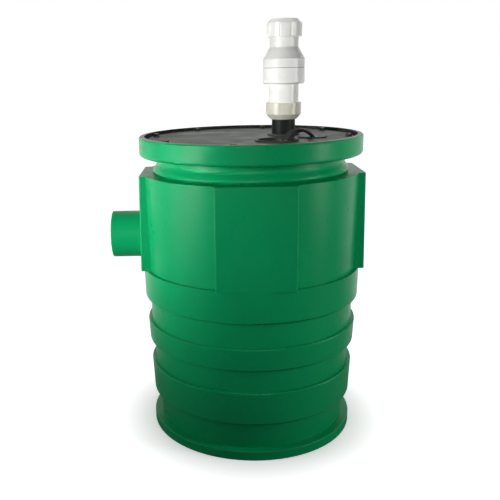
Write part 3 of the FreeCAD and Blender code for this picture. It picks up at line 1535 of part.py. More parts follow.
def make_tube(label, points, radius, bend=None):
    """A round bar or cord swept along a path."""
    radius = float(radius)
    path, radii = rounded_path(points, bend)
    first = Vector(*points[1]) - Vector(*points[0])
    profile = Part.Wire([Part.makeCircle(radius, Vector(*points[0]), first)])
    tube = path.makePipeShell([profile], True, False)
    expected = math.pi * radius ** 2 * path.Length
    if abs(tube.Volume / expected - 1) > 0.01:
        raise RuntimeError(f"{label} has volume {tube.Volume}, not {expected}")
    bend_share = min(radii) / radius / 2
    print(f"{label}: length {path.Length:.0f}, tightest bend {min(radii):.0f}, {bend_share:.1f} diameters")
    thing = doc.addObject("Part::Feature", label)
    thing.Shape = tube
    SUBPARTS.append(thing)
    return thing


def make_coil(label, centre, cord_radius):
    """The outer shape of a neat coil that lies on the basin's floor."""
    body = new_body(label)
    half = cord_radius * d.coil_turns_wide
    foot = d.floor_thickness
    top = foot + 2 * cord_radius * d.coil_turns_high
    inner, outer = d.coil_radius - half, d.coil_radius + half
    revolve(body, label + "_turned", ring_corners(inner, outer, foot, top))
    circles = [(inner, foot), (inner, top), (outer, foot), (outer, top)]
    round_circles(body, label + "_rounding", circles, cord_radius * d.coil_round_share)
    place(body, *centre)


def make_plug(label, end, turn, cord_radius):
    """A moulded plug that lies on the floor, with its relief sleeve towards the cord."""
    body = new_body(label)
    sleeve, front = d.plug_relief_length, d.plug_relief_length + d.plug_length
    outline = [(0, 0), (0, cord_radius + d.plug_mouth_wall), (sleeve, d.plug_relief_radius)]
    outline += [(sleeve + d.plug_shoulder, d.plug_radius), (front - d.plug_bevel, d.plug_radius)]
    outline += [(front, d.plug_radius - d.plug_bevel), (front, 0)]
    sketch = new_sketch(body, label + "_section", "XZ_Plane")
    add_polygon(sketch, outline)
    turned = body.newObject("PartDesign::Revolution", label + "_turned")
    turned.Profile = sketch
    turned.ReferenceAxis = (sketch, ["H_Axis"])
    turned.Angle = 360
    doc.recompute()
    place(body, *end, turn)

    blades = new_body(label + "_blades")
    sketch = new_sketch(blades, label + "_blade_outlines", "YZ_Plane", front)
    half_width, half_thickness = d.blade_width / 2, d.blade_thickness / 2
    for side in (-1, 1):
        middle = side * d.blade_spacing / 2
        low, high = d.blade_rise - half_width, d.blade_rise + half_width
        add_polygon(sketch, box_corners(middle - half_thickness, middle + half_thickness, low, high))
    add_circle(sketch, 0, -d.ground_pin_drop, d.ground_pin_radius)
    pad(blades, label + "_blade_pads", sketch, d.blade_length)
    place(blades, *end, turn)


def make_tie(label, height, side, cord_radius):
    """A band that holds a cord against the discharge pipe."""
    gap = float(d.cord_clearance)
    spacing = float(d.pipe_radius + cord_radius + d.tie_cord_gap)
    shapes = []
    for extra in (gap, gap + float(d.tie_thickness)):
        big, small = float(d.pipe_radius) + extra, float(cord_radius) + extra
        lean = math.acos((big - small) / spacing)
        along, across = math.cos(lean), math.sin(lean)
        big_top, big_foot = Vector(big * along, big * across, 0), Vector(big * along, -big * across, 0)
        small_top = Vector(spacing + small * along, small * across, 0)
        small_foot = Vector(spacing + small * along, -small * across, 0)
        edges = [
            Part.Arc(big_top, Vector(-big, 0, 0), big_foot).toShape(),
            Part.LineSegment(big_foot, small_foot).toShape(),
            Part.Arc(small_foot, Vector(spacing + small, 0, 0), small_top).toShape(),
            Part.LineSegment(small_top, big_top).toShape(),
        ]
        shapes.append(Part.Face(Part.Wire(edges)).extrude(Vector(0, 0, float(d.tie_width))))
    band = doc.addObject("Part::Feature", label)
    band.Shape = shapes[1].cut(shapes[0])
    SUBPARTS.append(band)
    place(band, d.discharge_x, d.discharge_y, height, side)


def make_handle():
    """The lifting bail over the motor cap."""
    half, top, foot = float(d.handle_half_span), float(cap_top + d.handle_height), float(cap_top)
    points = [(0, -half, foot), (0, -half, top), (0, half, top), (0, half, foot)]
    on_pump(make_tube("pump_handle", points, d.handle_radius, float(d.handle_bend)))


make_cord_seal()
make_handle()
make_tube("power_cord_riser", POWER_RISER, d.power_cord_radius)
make_tube("power_cord", POWER_RUN, d.power_cord_radius)
make_coil("power_cord_coil", POWER_COIL_CENTRE, d.power_cord_radius)
make_tube("power_cord_tail", POWER_TAIL, d.power_cord_radius)
make_plug("power_plug", POWER_TAIL[-1], POWER_PLUG_TURN, d.power_cord_radius)
make_tie("power_cord_tie", d.power_tie_height, d.power_tie_turn, d.power_cord_radius)
make_tube("float_cord_riser", FLOAT_RISER, d.float_cord_radius)
make_tube("float_cord", FLOAT_RUN, d.float_cord_radius)
make_coil("float_cord_coil", FLOAT_COIL_CENTRE, d.float_cord_radius)
make_tube("float_cord_tail", FLOAT_TAIL, d.float_cord_radius)
make_plug("float_plug", FLOAT_TAIL[-1], FLOAT_PLUG_TURN, d.float_cord_radius)
make_tie("float_cord_tie", d.float_tie_height, d.float_turn, d.float_cord_radius)

# Checks and files

doc.recompute()
for thing in doc.Objects:
    if "Invalid" in thing.State or "Error" in thing.State:
        raise RuntimeError(f"{thing.Name} failed: {thing.State}")
for part in SUBPARTS:
    if part.Shape.isNull() or not part.Shape.isValid():
        raise RuntimeError(f"{part.Label} has no valid shape")
for part in SUBPARTS:
    part.Shape.exportStep(f"parts/{part.Label}.step")
    print(f"{part.Label}: {len(part.Shape.Solids)} solids, {part.Shape.Volume / 1000:.1f} cubic centimetres")
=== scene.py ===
import json
import math

import bpy
from mathutils import Matrix, Vector


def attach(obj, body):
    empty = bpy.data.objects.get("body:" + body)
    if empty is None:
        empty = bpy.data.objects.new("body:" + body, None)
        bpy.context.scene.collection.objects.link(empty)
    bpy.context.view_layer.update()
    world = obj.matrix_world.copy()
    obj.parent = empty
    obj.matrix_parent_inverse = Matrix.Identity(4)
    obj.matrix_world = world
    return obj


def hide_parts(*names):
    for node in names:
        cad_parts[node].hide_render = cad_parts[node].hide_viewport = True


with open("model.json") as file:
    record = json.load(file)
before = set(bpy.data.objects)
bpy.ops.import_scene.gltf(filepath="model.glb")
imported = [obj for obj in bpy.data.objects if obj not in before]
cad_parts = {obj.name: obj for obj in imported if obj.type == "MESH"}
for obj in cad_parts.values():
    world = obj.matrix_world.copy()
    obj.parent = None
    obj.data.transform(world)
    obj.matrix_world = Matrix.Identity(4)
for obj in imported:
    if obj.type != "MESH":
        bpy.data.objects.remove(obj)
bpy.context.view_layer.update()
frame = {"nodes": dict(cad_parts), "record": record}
nodes = frame["nodes"]
scene = bpy.context.scene


# Colours are written as they look on a screen, from 0 to 255.
def colour(red, green, blue):
    def linear(value):
        value = value / 255
        return value / 12.92 if value <= 0.04045 else ((value + 0.055) / 1.055) ** 2.4
    return (linear(red), linear(green), linear(blue), 1)


# Camera, at the photograph's place
CAMERA_PLACE = Vector((-0.091, -1.804, 0.942))
CAMERA_YAW = math.radians(-1.59)
CAMERA_PITCH = math.radians(14.57)
CAMERA_ROLL = math.radians(-1.33)
FOCAL_PIXELS = 692
FRAME_PIXELS = 500
CENTRE_PIXEL = 197.7


def make_camera():
    data = bpy.data.cameras.new("camera")
    data.sensor_fit = "HORIZONTAL"
    data.sensor_width = 36
    data.lens = FOCAL_PIXELS / FRAME_PIXELS * data.sensor_width
    data.shift_x = 0.5 - CENTRE_PIXEL / FRAME_PIXELS
    data.clip_start = 0.05
    data.clip_end = 60
    camera = bpy.data.objects.new("camera", data)
    scene.collection.objects.link(camera)
    forward = Vector((
        math.sin(CAMERA_YAW) * math.cos(CAMERA_PITCH),
        math.cos(CAMERA_YAW) * math.cos(CAMERA_PITCH),
        -math.sin(CAMERA_PITCH)))
    level_right = Vector((math.cos(CAMERA_YAW), -math.sin(CAMERA_YAW), 0))
    level_up = level_right.cross(forward)
    right = level_right * math.cos(CAMERA_ROLL) + level_up * math.sin(CAMERA_ROLL)
    up = level_up * math.cos(CAMERA_ROLL) - level_right * math.sin(CAMERA_ROLL)
    turn = Matrix((right, up, -forward)).transposed()
    camera.matrix_world = Matrix.Translation(CAMERA_PLACE) @ turn.to_4x4()
    scene.camera = camera


make_camera()


# Cord routes, in millimetres, along the cords' centre lines
POWER_CORD_RADIUS = 4.25
FLOAT_CORD_RADIUS = 4
COIL_FLOOR = 10
COIL_MIDDLE = 47
TURN_POINTS = 16
MILLIMETRES = 1000
POWER_EXIT = (161.9, -52.7, 763)
POWER_RISER = [
    (-73.7, -9.5, 350),
    (-73.7, -9.5, 394),
    (-64, -9.2, 438),
    (-34, -8, 466),
    (6, -6, 474),
    (40, -4.5, 492),
    (60.5, -3.2, 515),
    (66.8, -2.2, 548),
    (66.8, -2.2, 584),
    (76, -15, 612),
    (103, -24, 631),
    (138, -17, 648),
    (171, -11, 666),
    (187, -19, 698),
    (179.5, -36.3, 733.6),
    POWER_EXIT,
]
POWER_RUN = [
    POWER_EXIT,
    (147, -66.6, 787.8),
    (126.7, -87.5, 795.8),
    (103.3, -112, 790.8),
    (85.4, -131, 775.8),
    (72.8, -145, 747),
    (69.8, -148.5, 712),
    (67, -143, 665),
    (65, -133, 590),
    (67, -121, 490),
    (71, -110, 390),
    (73, -103.5, 290),
    (70, -100, 200),
    (64, -98, 135),
    (55, -101, 88),
    (49, -112, 56),
    (48.5, -136, 38),
    (56, -163, 31.3),
]
POWER_TAIL = [(160.5, -112, 14.3), (161, -90, 15.6), (161, -67, 24), (161, -44, 24)]
POWER_COIL_CENTRE = (105, -135)
FLOAT_EXIT = (166.1, -63.4, 763)
FLOAT_RISER = [
    (106, -5, 409),
    (106, -5, 475),
    (107, -5.6, 545),
    (118, -4.5, 596),
    (148, -3, 626),
    (180, -8, 652),
    (197, -26, 690),
    (187.1, -42.2, 739.5),
    FLOAT_EXIT,
]
FLOAT_RUN = [
    FLOAT_EXIT,
    (147.9, -81.8, 783.4),
    (119.9, -108, 799.1),
    (95.2, -128.2, 797.6),
    (74.6, -143.5, 781),
    (61.2, -153.5, 751.5),
    (58.9, -154.8, 716.6),
    (55, -154, 668),
    (50, -147, 590),
    (49.5, -138, 485),
    (44, -131, 375),
    (41.5, -122, 265),
    (36, -120, 172),
    (28, -117, 106),
    (8, -111, 62),
    (-26, -101, 38),
    (-68, -94.8, 30.1),
]
FLOAT_TAIL = [
    (-68.3, -90.4, 14), (-87.3, -79.4, 15.3), (-108.1, -67.4, 24), (-127.15, -56.4, 24)]
FLOAT_COIL_CENTRE = (-75, -150)


def coil(centre, radius, entry, leave):
    """Points of a coil in two layers: inwards on top, then outwards on the floor.

    It turns left, seen from above, from the angle entry to the angle leave, in degrees.
    """
    diameter = 2 * radius
    low = COIL_FLOOR + radius
    high = low + diameter
    # Angle, radius and height
    marks = [
        (entry, COIL_MIDDLE + 0.55 * diameter, high + 2),
        (entry + 90, COIL_MIDDLE + 0.5 * diameter, high),
        (entry + 720, COIL_MIDDLE - 0.5 * diameter, high),
        (entry + 830, COIL_MIDDLE - diameter, low),
        (leave + 1800, COIL_MIDDLE + diameter, low),
    ]
    share = math.cos(math.pi / TURN_POINTS)
    step = 360 / TURN_POINTS
    points = []
    start = marks[0][0]
    whole = marks[-1][0] - start
    count = int(whole / step)
    for i in range(1, count + 1):
        angle = start + whole * i / count
        for (a, r_a, z_a), (b, r_b, z_b) in zip(marks, marks[1:]):
            if a <= angle <= b:
                t = (angle - a) / (b - a)
                r = (r_a + (r_b - r_a) * t) / share
                z = z_a + (z_b - z_a) * t
        turn = math.radians(angle)
        points.append((centre[0] + r * math.cos(turn), centre[1] + r * math.sin(turn), z))
    return points


def metres(place):
    return tuple(v / MILLIMETRES for v in place)


def make_strand(name, route, radius):
    """A round cord. Its points carry its radius, because a curve's box grows by theirs."""
    curve = bpy.data.curves.new(name, "CURVE")
    curve.dimensions = "3D"
    curve.resolution_u = 10
    curve.bevel_depth = 1
    curve.bevel_resolution = 6
    curve.use_fill_caps = True
    spline = curve.splines.new("NURBS")
    spline.points.add(len(route) - 1)
    for point, place in zip(spline.points, route):
        point.co = metres(place) + (1,)
        point.radius = radius / MILLIMETRES
    spline.order_u = 3
    spline.use_endpoint_u = True
    strand = bpy.data.objects.new(name, curve)
    scene.collection.objects.link(strand)
    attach(strand, "basin_assembly")
    return strand


power_coil = coil(POWER_COIL_CENTRE, POWER_CORD_RADIUS, entry=209, leave=0)
float_coil = coil(FLOAT_COIL_CENTRE, FLOAT_CORD_RADIUS, entry=83, leave=60)
power_route = POWER_RUN + power_coil + POWER_TAIL
float_route = FLOAT_RUN + float_coil + FLOAT_TAIL
power_riser = make_strand("power_riser_strand", POWER_RISER, POWER_CORD_RADIUS)
power_strand = make_strand("power_strand", power_route, POWER_CORD_RADIUS)
float_riser = make_strand("float_riser_strand", FLOAT_RISER, FLOAT_CORD_RADIUS)
float_strand = make_strand("float_strand", float_route, FLOAT_CORD_RADIUS)
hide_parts("power_cord_riser")
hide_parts("power_cord", "power_cord_coil", "power_cord_tail")
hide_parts("float_cord_riser")
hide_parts("float_cord", "float_cord_coil", "float_cord_tail")


# Where the colour changes, in metres: radii and heights on the basin, where the rim's lip and
# inner wall are painted in shade, and heights on the valve, where the cone is painted in shade
# and ringed
RIM_LIP = (0.2805, 0.2825)
RIM_LIP_HEIGHT = (0.7765, 0.7785)
RIM_WALL = (0.2735, 0.2745)
RIM_WALL_HEIGHT = (0.7655, 0.767)
CONE_FOOT = (0.9635, 0.9655)
CONE_TOP = (0.9925, 0.9945)
CONE_RINGS = 1400


class Finish:
    """A material, built of noise on the object's own coordinates."""

    def __init__(self, name, base, roughness, metallic=0.0):
        self.material = bpy.data.materials.new(name)
        self.material.use_nodes = True
        self.tree = self.material.node_tree
        self.shader = self.tree.nodes["Principled BSDF"]
        self.base = base
        self.tint = None
        self.shader.inputs["Metallic"].default_value = metallic
        self.shader.inputs["Roughness"].default_value = roughness
        self.height = None
        self.place = self.tree.nodes.new("ShaderNodeTexCoord").outputs["Object"]

    def join(self, source, target):
        self.tree.links.new(source, target)

    def stretched(self, scale):
        mapping = self.tree.nodes.new("ShaderNodeMapping")
        mapping.inputs["Scale"].default_value = scale
        self.join(self.place, mapping.inputs["Vector"])
        return mapping.outputs["Vector"]

    def noise(self, scale, detail=3.0, rough=0.55, place=None, distortion=0.0):
        node = self.tree.nodes.new("ShaderNodeTexNoise")
        node.inputs["Scale"].default_value = scale
        node.inputs["Detail"].default_value = detail
        node.inputs["Roughness"].default_value = rough
        node.inputs["Distortion"].default_value = distortion
        self.join(place or self.place, node.inputs["Vector"])
        return node.outputs["Fac"]

    def ranged(self, value, low, high, to_low=0.0, to_high=1.0):
        node = self.tree.nodes.new("ShaderNodeMapRange")
        node.inputs["From Min"].default_value = low
        node.inputs["From Max"].default_value = high
        node.inputs["To Min"].default_value = to_low
        node.inputs["To Max"].default_value = to_high
        self.join(value, node.inputs["Value"])
        return node.outputs["Result"]

    def maths(self, operation, first, second=0):
        node = self.tree.nodes.new("ShaderNodeMath")
        node.operation = operation
        for socket, value in zip(node.inputs, (first, second)):
            if isinstance(value, (int, float)):
                socket.default_value = value
            else:
                self.join(value, socket)
        return node.outputs["Value"]

    def paint(self, share, other):
        """Lays another colour over what is there, as far as share says."""
        node = self.tree.nodes.new("ShaderNodeMix")
        node.data_type = "RGBA"
        self.join(share, node.inputs["Factor"])
        if self.tint is None:
            node.inputs["A"].default_value = self.base
        else:
            self.join(self.tint, node.inputs["A"])
        node.inputs["B"].default_value = other
        self.tint = node.outputs["Result"]

    def vary_roughness(self, value, low, high):
        self.join(self.ranged(value, 0.3, 0.7, low, high), self.shader.inputs["Roughness"])

    def raise_by(self, value, distance, strength=1.0):
        node = self.tree.nodes.new("ShaderNodeBump")
        node.inputs["Strength"].default_value = strength
        node.inputs["Distance"].default_value = distance
        self.join(value, node.inputs["Height"])
        if self.height is not None:
            self.join(self.height, node.inputs["Normal"])
        self.height = node.outputs["Normal"]

    def done(self):
        if self.tint is None:
            self.shader.inputs["Base Color"].default_value = self.base
        else:
            self.join(self.tint, self.shader.inputs["Base Color"])
        if self.height is not None:
            self.join(self.height, self.shader.inputs["Normal"])
        return self.material

    def axis_parts(self):
        node = self.tree.nodes.new("ShaderNodeSeparateXYZ")
        self.join(self.place, node.inputs["Vector"])
        return node.outputs["X"], node.outputs["Y"], node.outputs["Z"]

    def radius(self):
        """Distance from the upright axis through the origin."""
        x, y, _ = self.axis_parts()
        squares = self.maths("ADD", self.maths("MULTIPLY", x, x), self.maths("MULTIPLY", y, y))
        return self.maths("SQRT", squares)

    def specular(self, level):
        self.shader.inputs["Specular IOR Level"].default_value = level


def green_moulding():
    f = Finish("green_moulding", colour(9, 162, 98), 0.3)
    broad = f.noise(5, detail=4, distortion=0.3)
    f.paint(f.ranged(broad, 0.35, 0.7, 0, 0.35), colour(8, 148, 88))
    speck = f.noise(420, detail=2)
    f.paint(f.ranged(speck, 0.52, 0.75, 0, 0.25), colour(24, 176, 116))
    scuff = f.noise(1, detail=5, rough=0.7, place=f.stretched((14, 14, 90)))
    f.paint(f.ranged(scuff, 0.63, 0.78, 0, 0.2), colour(40, 174, 118))
    # Painted shade: inside these radii and above these heights, the lip under the cover's edge
    # and the rim's inner wall are painted dark.
    distance = f.radius()
    z = f.axis_parts()[2]
    lip_shade = f.maths(
        "MULTIPLY", f.ranged(distance, *RIM_LIP, 1, 0), f.ranged(z, *RIM_LIP_HEIGHT, 0, 1))
    wall_shade = f.maths(
        "MULTIPLY", f.ranged(distance, *RIM_WALL, 1, 0), f.ranged(z, *RIM_WALL_HEIGHT, 0, 1))
    f.paint(f.maths("MAXIMUM", lip_shade, wall_shade), colour(52, 58, 52))
    f.vary_roughness(f.noise(30, detail=5), 0.26, 0.36)
    f.raise_by(f.noise(240, detail=3, rough=0.6), 0.001, 0.4)
    f.raise_by(f.noise(14, detail=2), 0.004, 0.12)
    f.specular(0.15)
    return f.done()


def cover_enamel():
    f = Finish("cover_enamel", colour(66, 78, 54), 0.3)
    cloud = f.noise(9, detail=6, rough=0.65, distortion=0.8)
    f.paint(f.ranged(cloud, 0.4, 0.68, 0, 0.6), colour(76, 84, 62))
    # Painted reflection: pale streaks along the cover stand in for its glossy reflections.
    reflection_streak = f.noise(1, detail=6, rough=0.7, place=f.stretched((7, 60, 7)), distortion=0.6)
    f.paint(f.ranged(reflection_streak, 0.56, 0.76, 0, 0.6), colour(124, 126, 104))
    f.vary_roughness(cloud, 0.24, 0.46)
    f.raise_by(f.noise(160, detail=3), 0.0006, 0.25)
    f.raise_by(f.noise(6, detail=2), 0.006, 0.12)
    f.specular(0.03)
    return f.done()


def rubber():
    f = Finish("moulded_rubber", colour(34, 35, 35), 0.5)
    f.paint(f.ranged(f.noise(60, detail=5), 0.4, 0.75, 0, 0.5), colour(58, 59, 58))
    f.vary_roughness(f.noise(90, detail=4), 0.4, 0.62)
    f.raise_by(f.noise(700, detail=2), 0.0003, 0.4)
    return f.done()


def cord_jacket():
    f = Finish("cord_jacket", colour(26, 27, 27), 0.34)
    f.paint(f.ranged(f.noise(120, detail=4), 0.45, 0.75, 0, 0.4), colour(48, 49, 48))
    f.vary_roughness(f.noise(150, detail=3), 0.28, 0.42)
    f.raise_by(f.noise(900, detail=2), 0.00025, 0.35)
    return f.done()


def black_moulding():
    f = Finish("black_moulding", colour(30, 31, 31), 0.42)
    f.paint(f.ranged(f.noise(50, detail=5), 0.45, 0.75, 0, 0.4), colour(54, 55, 54))
    f.vary_roughness(f.noise(80, detail=4), 0.34, 0.52)
    f.raise_by(f.noise(600, detail=2), 0.0003, 0.35)
    return f.done()


def pipe_black():
    f = Finish("pipe_black", colour(22, 25, 23), 0.4)
    drawn = f.noise(1, detail=4, place=f.stretched((240, 240, 5)))
    f.paint(f.ranged(drawn, 0.4, 0.75, 0, 0.5), colour(42, 44, 41))
    f.vary_roughness(drawn, 0.34, 0.5)
    f.raise_by(drawn, 0.0004, 0.3)
    f.specular(0.15)
    return f.done()


def white_plastic(name, base, shade, stain):
    f = Finish(name, base, 0.18)
    f.paint(f.ranged(f.noise(40, detail=4), 0.4, 0.75, 0, 0.4), shade)
    grime = f.noise(130, detail=5, rough=0.7)
    f.paint(f.ranged(grime, 0.68, 0.82, 0, 0.25), stain)
    f.vary_roughness(f.noise(70, detail=4), 0.14, 0.24)
    f.raise_by(f.noise(260, detail=2), 0.0002, 0.15)
    f.shader.inputs["Subsurface Weight"].default_value = 0.08
    f.shader.inputs["Subsurface Radius"].default_value = (0.004, 0.004, 0.003)
    f.shader.inputs["Subsurface Scale"].default_value = 1
    return f


def white_moulding():
    return white_plastic(
        "white_moulding", colour(235, 235, 231), colour(224, 224, 218),
        colour(196, 194, 186)).done()


def ringed_moulding():
    """White plastic with fine turned rings on the cone above the valve body, and painted shade
    that makes that cone darker.
    """
    f = white_plastic(
        "ringed_moulding", colour(232, 232, 228), colour(222, 222, 216), colour(194, 192, 184))
    z = f.axis_parts()[2]
    rings = f.maths("SINE", f.maths("MULTIPLY", z, CONE_RINGS))
    cone = f.maths(
        "MULTIPLY", f.ranged(z, *CONE_FOOT, 0, 1), f.ranged(z, *CONE_TOP, 1, 0))
    # Painted shade: the cone band is painted a darker grey, standing in for the shade on its
    # upward face.
    f.paint(f.maths("MULTIPLY", cone, 0.45), colour(186, 188, 180))
    f.raise_by(f.maths("MULTIPLY", rings, cone), 0.0006, 0.6)
    return f.done()


def nut_moulding():
    """The lower nut's older, yellower plastic."""
    return white_plastic(
        "nut_moulding", colour(201, 200, 184), colour(188, 186, 168),
        colour(162, 159, 142)).done()


def brass():
    f = Finish("turned_brass", colour(196, 158, 92), 0.3, metallic=1.0)
    f.paint(f.ranged(f.noise(70, detail=5), 0.45, 0.75, 0, 0.6), colour(146, 112, 64))
    ring = f.noise(1, detail=3, place=f.stretched((90, 90, 1500)))
    f.vary_roughness(ring, 0.24, 0.44)
    f.raise_by(ring, 0.0002, 0.3)
    return f.done()


def stainless():
    f = Finish("stainless_steel", colour(176, 176, 172), 0.32, metallic=1.0)
    brushed = f.noise(1, detail=4, place=f.stretched((900, 60, 900)))
    f.paint(f.ranged(brushed, 0.4, 0.7, 0, 0.5), colour(140, 140, 136))
    f.vary_roughness(brushed, 0.26, 0.44)
    f.raise_by(brushed, 0.0002, 0.3)
    return f.done()


def dark_fastener():
    f = Finish("dark_fastener", colour(64, 64, 60), 0.36, metallic=0.85)
    f.paint(f.ranged(f.noise(160, detail=5), 0.45, 0.7, 0, 0.6), colour(104, 102, 94))
    f.vary_roughness(f.noise(240, detail=3), 0.3, 0.5)
    f.raise_by(f.noise(900, detail=3), 0.0002, 0.3)
    return f.done()


def painted_casting():
    f = Finish("painted_casting", colour(34, 76, 58), 0.45)
    f.paint(f.ranged(f.noise(26, detail=5), 0.4, 0.7, 0, 0.6), colour(26, 60, 46))
    chip = f.noise(110, detail=6, rough=0.75)
    f.paint(f.ranged(chip, 0.68, 0.76, 0, 0.7), colour(92, 98, 88))
    f.vary_roughness(f.noise(60, detail=4), 0.36, 0.58)
    f.raise_by(f.noise(190, detail=4, rough=0.65), 0.0012, 0.5)
    return f.done()


def laminations():
    f = Finish("laminations", colour(128, 128, 130), 0.42, metallic=0.9)
    sheets = f.noise(1, detail=1, place=f.stretched((4, 4, 1900)))
    f.paint(f.ranged(sheets, 0.35, 0.65, 0, 1), colour(74, 74, 78))
    f.vary_roughness(f.noise(80, detail=3), 0.34, 0.55)
    f.raise_by(sheets, 0.0004, 0.6)
    return f.done()


def windings():
    f = Finish("winding_wire", colour(168, 92, 46), 0.3, metallic=0.6)
    wires = f.noise(1, detail=2, place=f.stretched((90, 90, 1300)), distortion=0.5)
    f.paint(f.ranged(wires, 0.35, 0.65, 0, 0.9), colour(104, 50, 26))
    f.vary_roughness(wires, 0.24, 0.46)
    f.raise_by(wires, 0.0009, 0.7)
    return f.done()


finishes = {
    "green_plastic": green_moulding(),
    "cover_metal": cover_enamel(),
    "rubber": rubber(),
    "brass": brass(),
    "steel": stainless(),
    "pipe_black": pipe_black(),
    "white_plastic": white_moulding(),
    "cast_iron": painted_casting(),
    "lamination": laminations(),
    "copper": windings(),
    "black_plastic": black_moulding(),
    "cord_black": cord_jacket(),
}
dark_steel = dark_fastener()


def dress(obj, material):
    if not obj.material_slots:
        obj.data.materials.append(material)
    for place in obj.material_slots:
        place.material = material


for part in frame["record"]["subparts"]:
    dress(nodes[part["node"]], finishes[part["material_slot"]])
for strand in (power_riser, power_strand, float_riser, float_strand):
    dress(strand, finishes["cord_black"])
for name in ("cover_bolts", "cover_washers"):
    dress(nodes[name], dark_steel)
dress(nodes["valve_body_upper"], ringed_moulding())
dress(nodes["valve_nut_lower"], nut_moulding())


# Floor, pale backdrop and lamps. A strength of 1 shows as white.
FLOOR_HALF = 12
FLOOR_GLOW = 0.42
CLEAR_FROM = 0.27
CLEAR_TO = 0.42
MIRROR_FROM = 0.1
MIRROR_TO = 1.2
MIRROR_FRONT = 0.05
WORLD_MIRROR = ((0.25, 0.9), (0.03, 1))
WORLD_LIGHT = ((0.3, 0.9), (0.03, 0.6))
# Name, place, aim, width, height, power and spread in degrees
LAMPS = [
    ("left", (-1.0, -0.35, 0.6), (0, 0, 0.6), 0.4, 0.6, 2.4, 180),
    ("left_front", (-1.2, -0.8, 0.62), (-0.3, -0.05, 0.6), 0.3, 0.3, 0.84, 40),
    ("right", (1.7, -0.7, 0.8), (0, 0, 0.6), 0.4, 1.1, 11.3, 180),
    ("front", (-0.1, -1.8, 1.1), (0, 0, 0.45), 0.4, 0.4, 0.46, 45),
    ("top", (0, -0.2, 1.9), (0, 0, 0.8), 0.6, 0.6, 0.6, 120),
    ("valve_left", (-1.3, -1.1, 1.2), (0.09, 0, 0.97), 0.2, 0.6, 0.37, 14),
    ("valve_right", (1.2, -1.2, 1.2), (0.09, 0, 0.97), 0.1, 0.6, 0.06, 14),
]


def make_floor():
    """White paper that glows where it is seen. The glow is weaker near the object, which paints
    a shadow ring round its foot, and the object's own shadow shows there too.

    Reflections on the object show it white only behind the object, and other rays find it grey.
    """
    mesh = bpy.data.meshes.new("floor")
    corners = [(-FLOOR_HALF, -FLOOR_HALF, 0), (FLOOR_HALF, -FLOOR_HALF, 0)]
    corners += [(FLOOR_HALF, FLOOR_HALF, 0), (-FLOOR_HALF, FLOOR_HALF, 0)]
    mesh.from_pydata(corners, [], [(0, 1, 2, 3)])
    floor = bpy.data.objects.new("floor", mesh)
    scene.collection.objects.link(floor)
    f = Finish("floor_paper", colour(250, 250, 250), 0.9)
    f.paint(f.ranged(f.noise(3, detail=3), 0.3, 0.7, 0, 0.4), colour(247, 247, 247))
    f.specular(0)
    material = f.done()
    tree = f.tree
    y = f.axis_parts()[1]
    path = tree.nodes.new("ShaderNodeLightPath")
    seen = f.maths("MAXIMUM", path.outputs["Is Camera Ray"], path.outputs["Is Transmission Ray"])
    behind = f.maths(
        "MULTIPLY", path.outputs["Is Glossy Ray"],
        f.ranged(y, MIRROR_FROM, MIRROR_TO, MIRROR_FRONT, 1))
    seen = f.maths("MAXIMUM", seen, behind)
    glow = tree.nodes.new("ShaderNodeEmission")
    # Painted shadow: the glow falls from 1 to FLOOR_GLOW between CLEAR_TO and CLEAR_FROM, round
    # the object's foot.
    clear = f.ranged(f.radius(), CLEAR_FROM, CLEAR_TO, FLOOR_GLOW, 1)
    f.join(clear, glow.inputs["Strength"])
    lit = tree.nodes.new("ShaderNodeAddShader")
    f.join(f.shader.outputs["BSDF"], lit.inputs[0])
    f.join(glow.outputs["Emission"], lit.inputs[1])
    matt = tree.nodes.new("ShaderNodeBsdfDiffuse")
    matt.inputs["Color"].default_value = colour(120, 120, 120)
    mix = tree.nodes.new("ShaderNodeMixShader")
    f.join(seen, mix.inputs["Fac"])
    f.join(matt.outputs["BSDF"], mix.inputs[1])
    f.join(lit.outputs["Shader"], mix.inputs[2])
    f.join(mix.outputs["Shader"], tree.nodes["Material Output"].inputs["Surface"])
    mesh.materials.append(material)


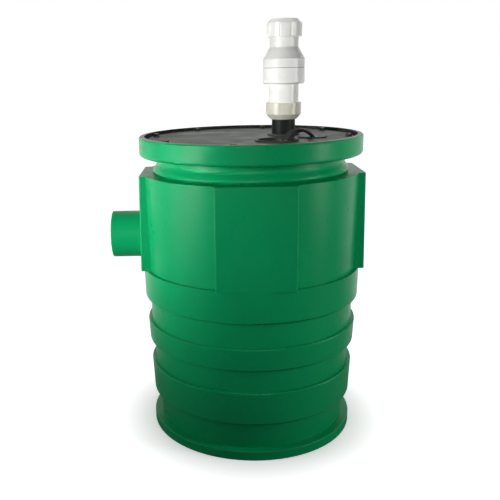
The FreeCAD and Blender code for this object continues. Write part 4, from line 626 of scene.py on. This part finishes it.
def make_world():
    """Looks white. Its light and its reflection come mostly from behind the object."""
    world = bpy.data.worlds.new("studio")
    scene.world = world
    world.use_nodes = True
    tree = world.node_tree
    labels = ("From Min", "From Max", "To Min", "To Max")

    def ranged(value, reach, result):
        node = tree.nodes.new("ShaderNodeMapRange")
        for label, number in zip(labels, reach + result):
            node.inputs[label].default_value = number
        tree.links.new(value, node.inputs["Value"])
        return node.outputs["Result"]

    def background(strength):
        node = tree.nodes.new("ShaderNodeBackground")
        node.inputs["Color"].default_value = (1, 1, 1, 1)
        if isinstance(strength, (int, float)):
            node.inputs["Strength"].default_value = strength
        else:
            tree.links.new(strength, node.inputs["Strength"])
        return node.outputs["Background"]

    def mixed(share, first, second):
        node = tree.nodes.new("ShaderNodeMixShader")
        tree.links.new(share, node.inputs["Fac"])
        tree.links.new(first, node.inputs[1])
        tree.links.new(second, node.inputs[2])
        return node.outputs["Shader"]

    direction = tree.nodes.new("ShaderNodeSeparateXYZ")
    place = tree.nodes.new("ShaderNodeTexCoord")
    tree.links.new(place.outputs["Generated"], direction.inputs["Vector"])
    path = tree.nodes.new("ShaderNodeLightPath")
    lighting = background(ranged(direction.outputs["Y"], *WORLD_LIGHT))
    mirrored = background(ranged(direction.outputs["Y"], *WORLD_MIRROR))
    shown = mixed(path.outputs["Is Glossy Ray"], lighting, mirrored)
    shown = mixed(path.outputs["Is Transmission Ray"], shown, background(1))
    shown = mixed(path.outputs["Is Camera Ray"], shown, background(1))
    tree.links.new(shown, tree.nodes["World Output"].inputs["Surface"])


def make_lamp(name, place, aim, width, height, power, spread):
    data = bpy.data.lights.new(name, "AREA")
    data.shape = "RECTANGLE"
    data.size = width
    data.size_y = height
    data.energy = power
    data.spread = math.radians(spread)
    lamp = bpy.data.objects.new(name, data)
    scene.collection.objects.link(lamp)
    lamp.location = place
    lamp.rotation_euler = (Vector(aim) - Vector(place)).to_track_quat("-Z", "Y").to_euler()


make_floor()
make_world()
for lamp_row in LAMPS:
    make_lamp(*lamp_row)

scene.view_settings.view_transform = "Standard"
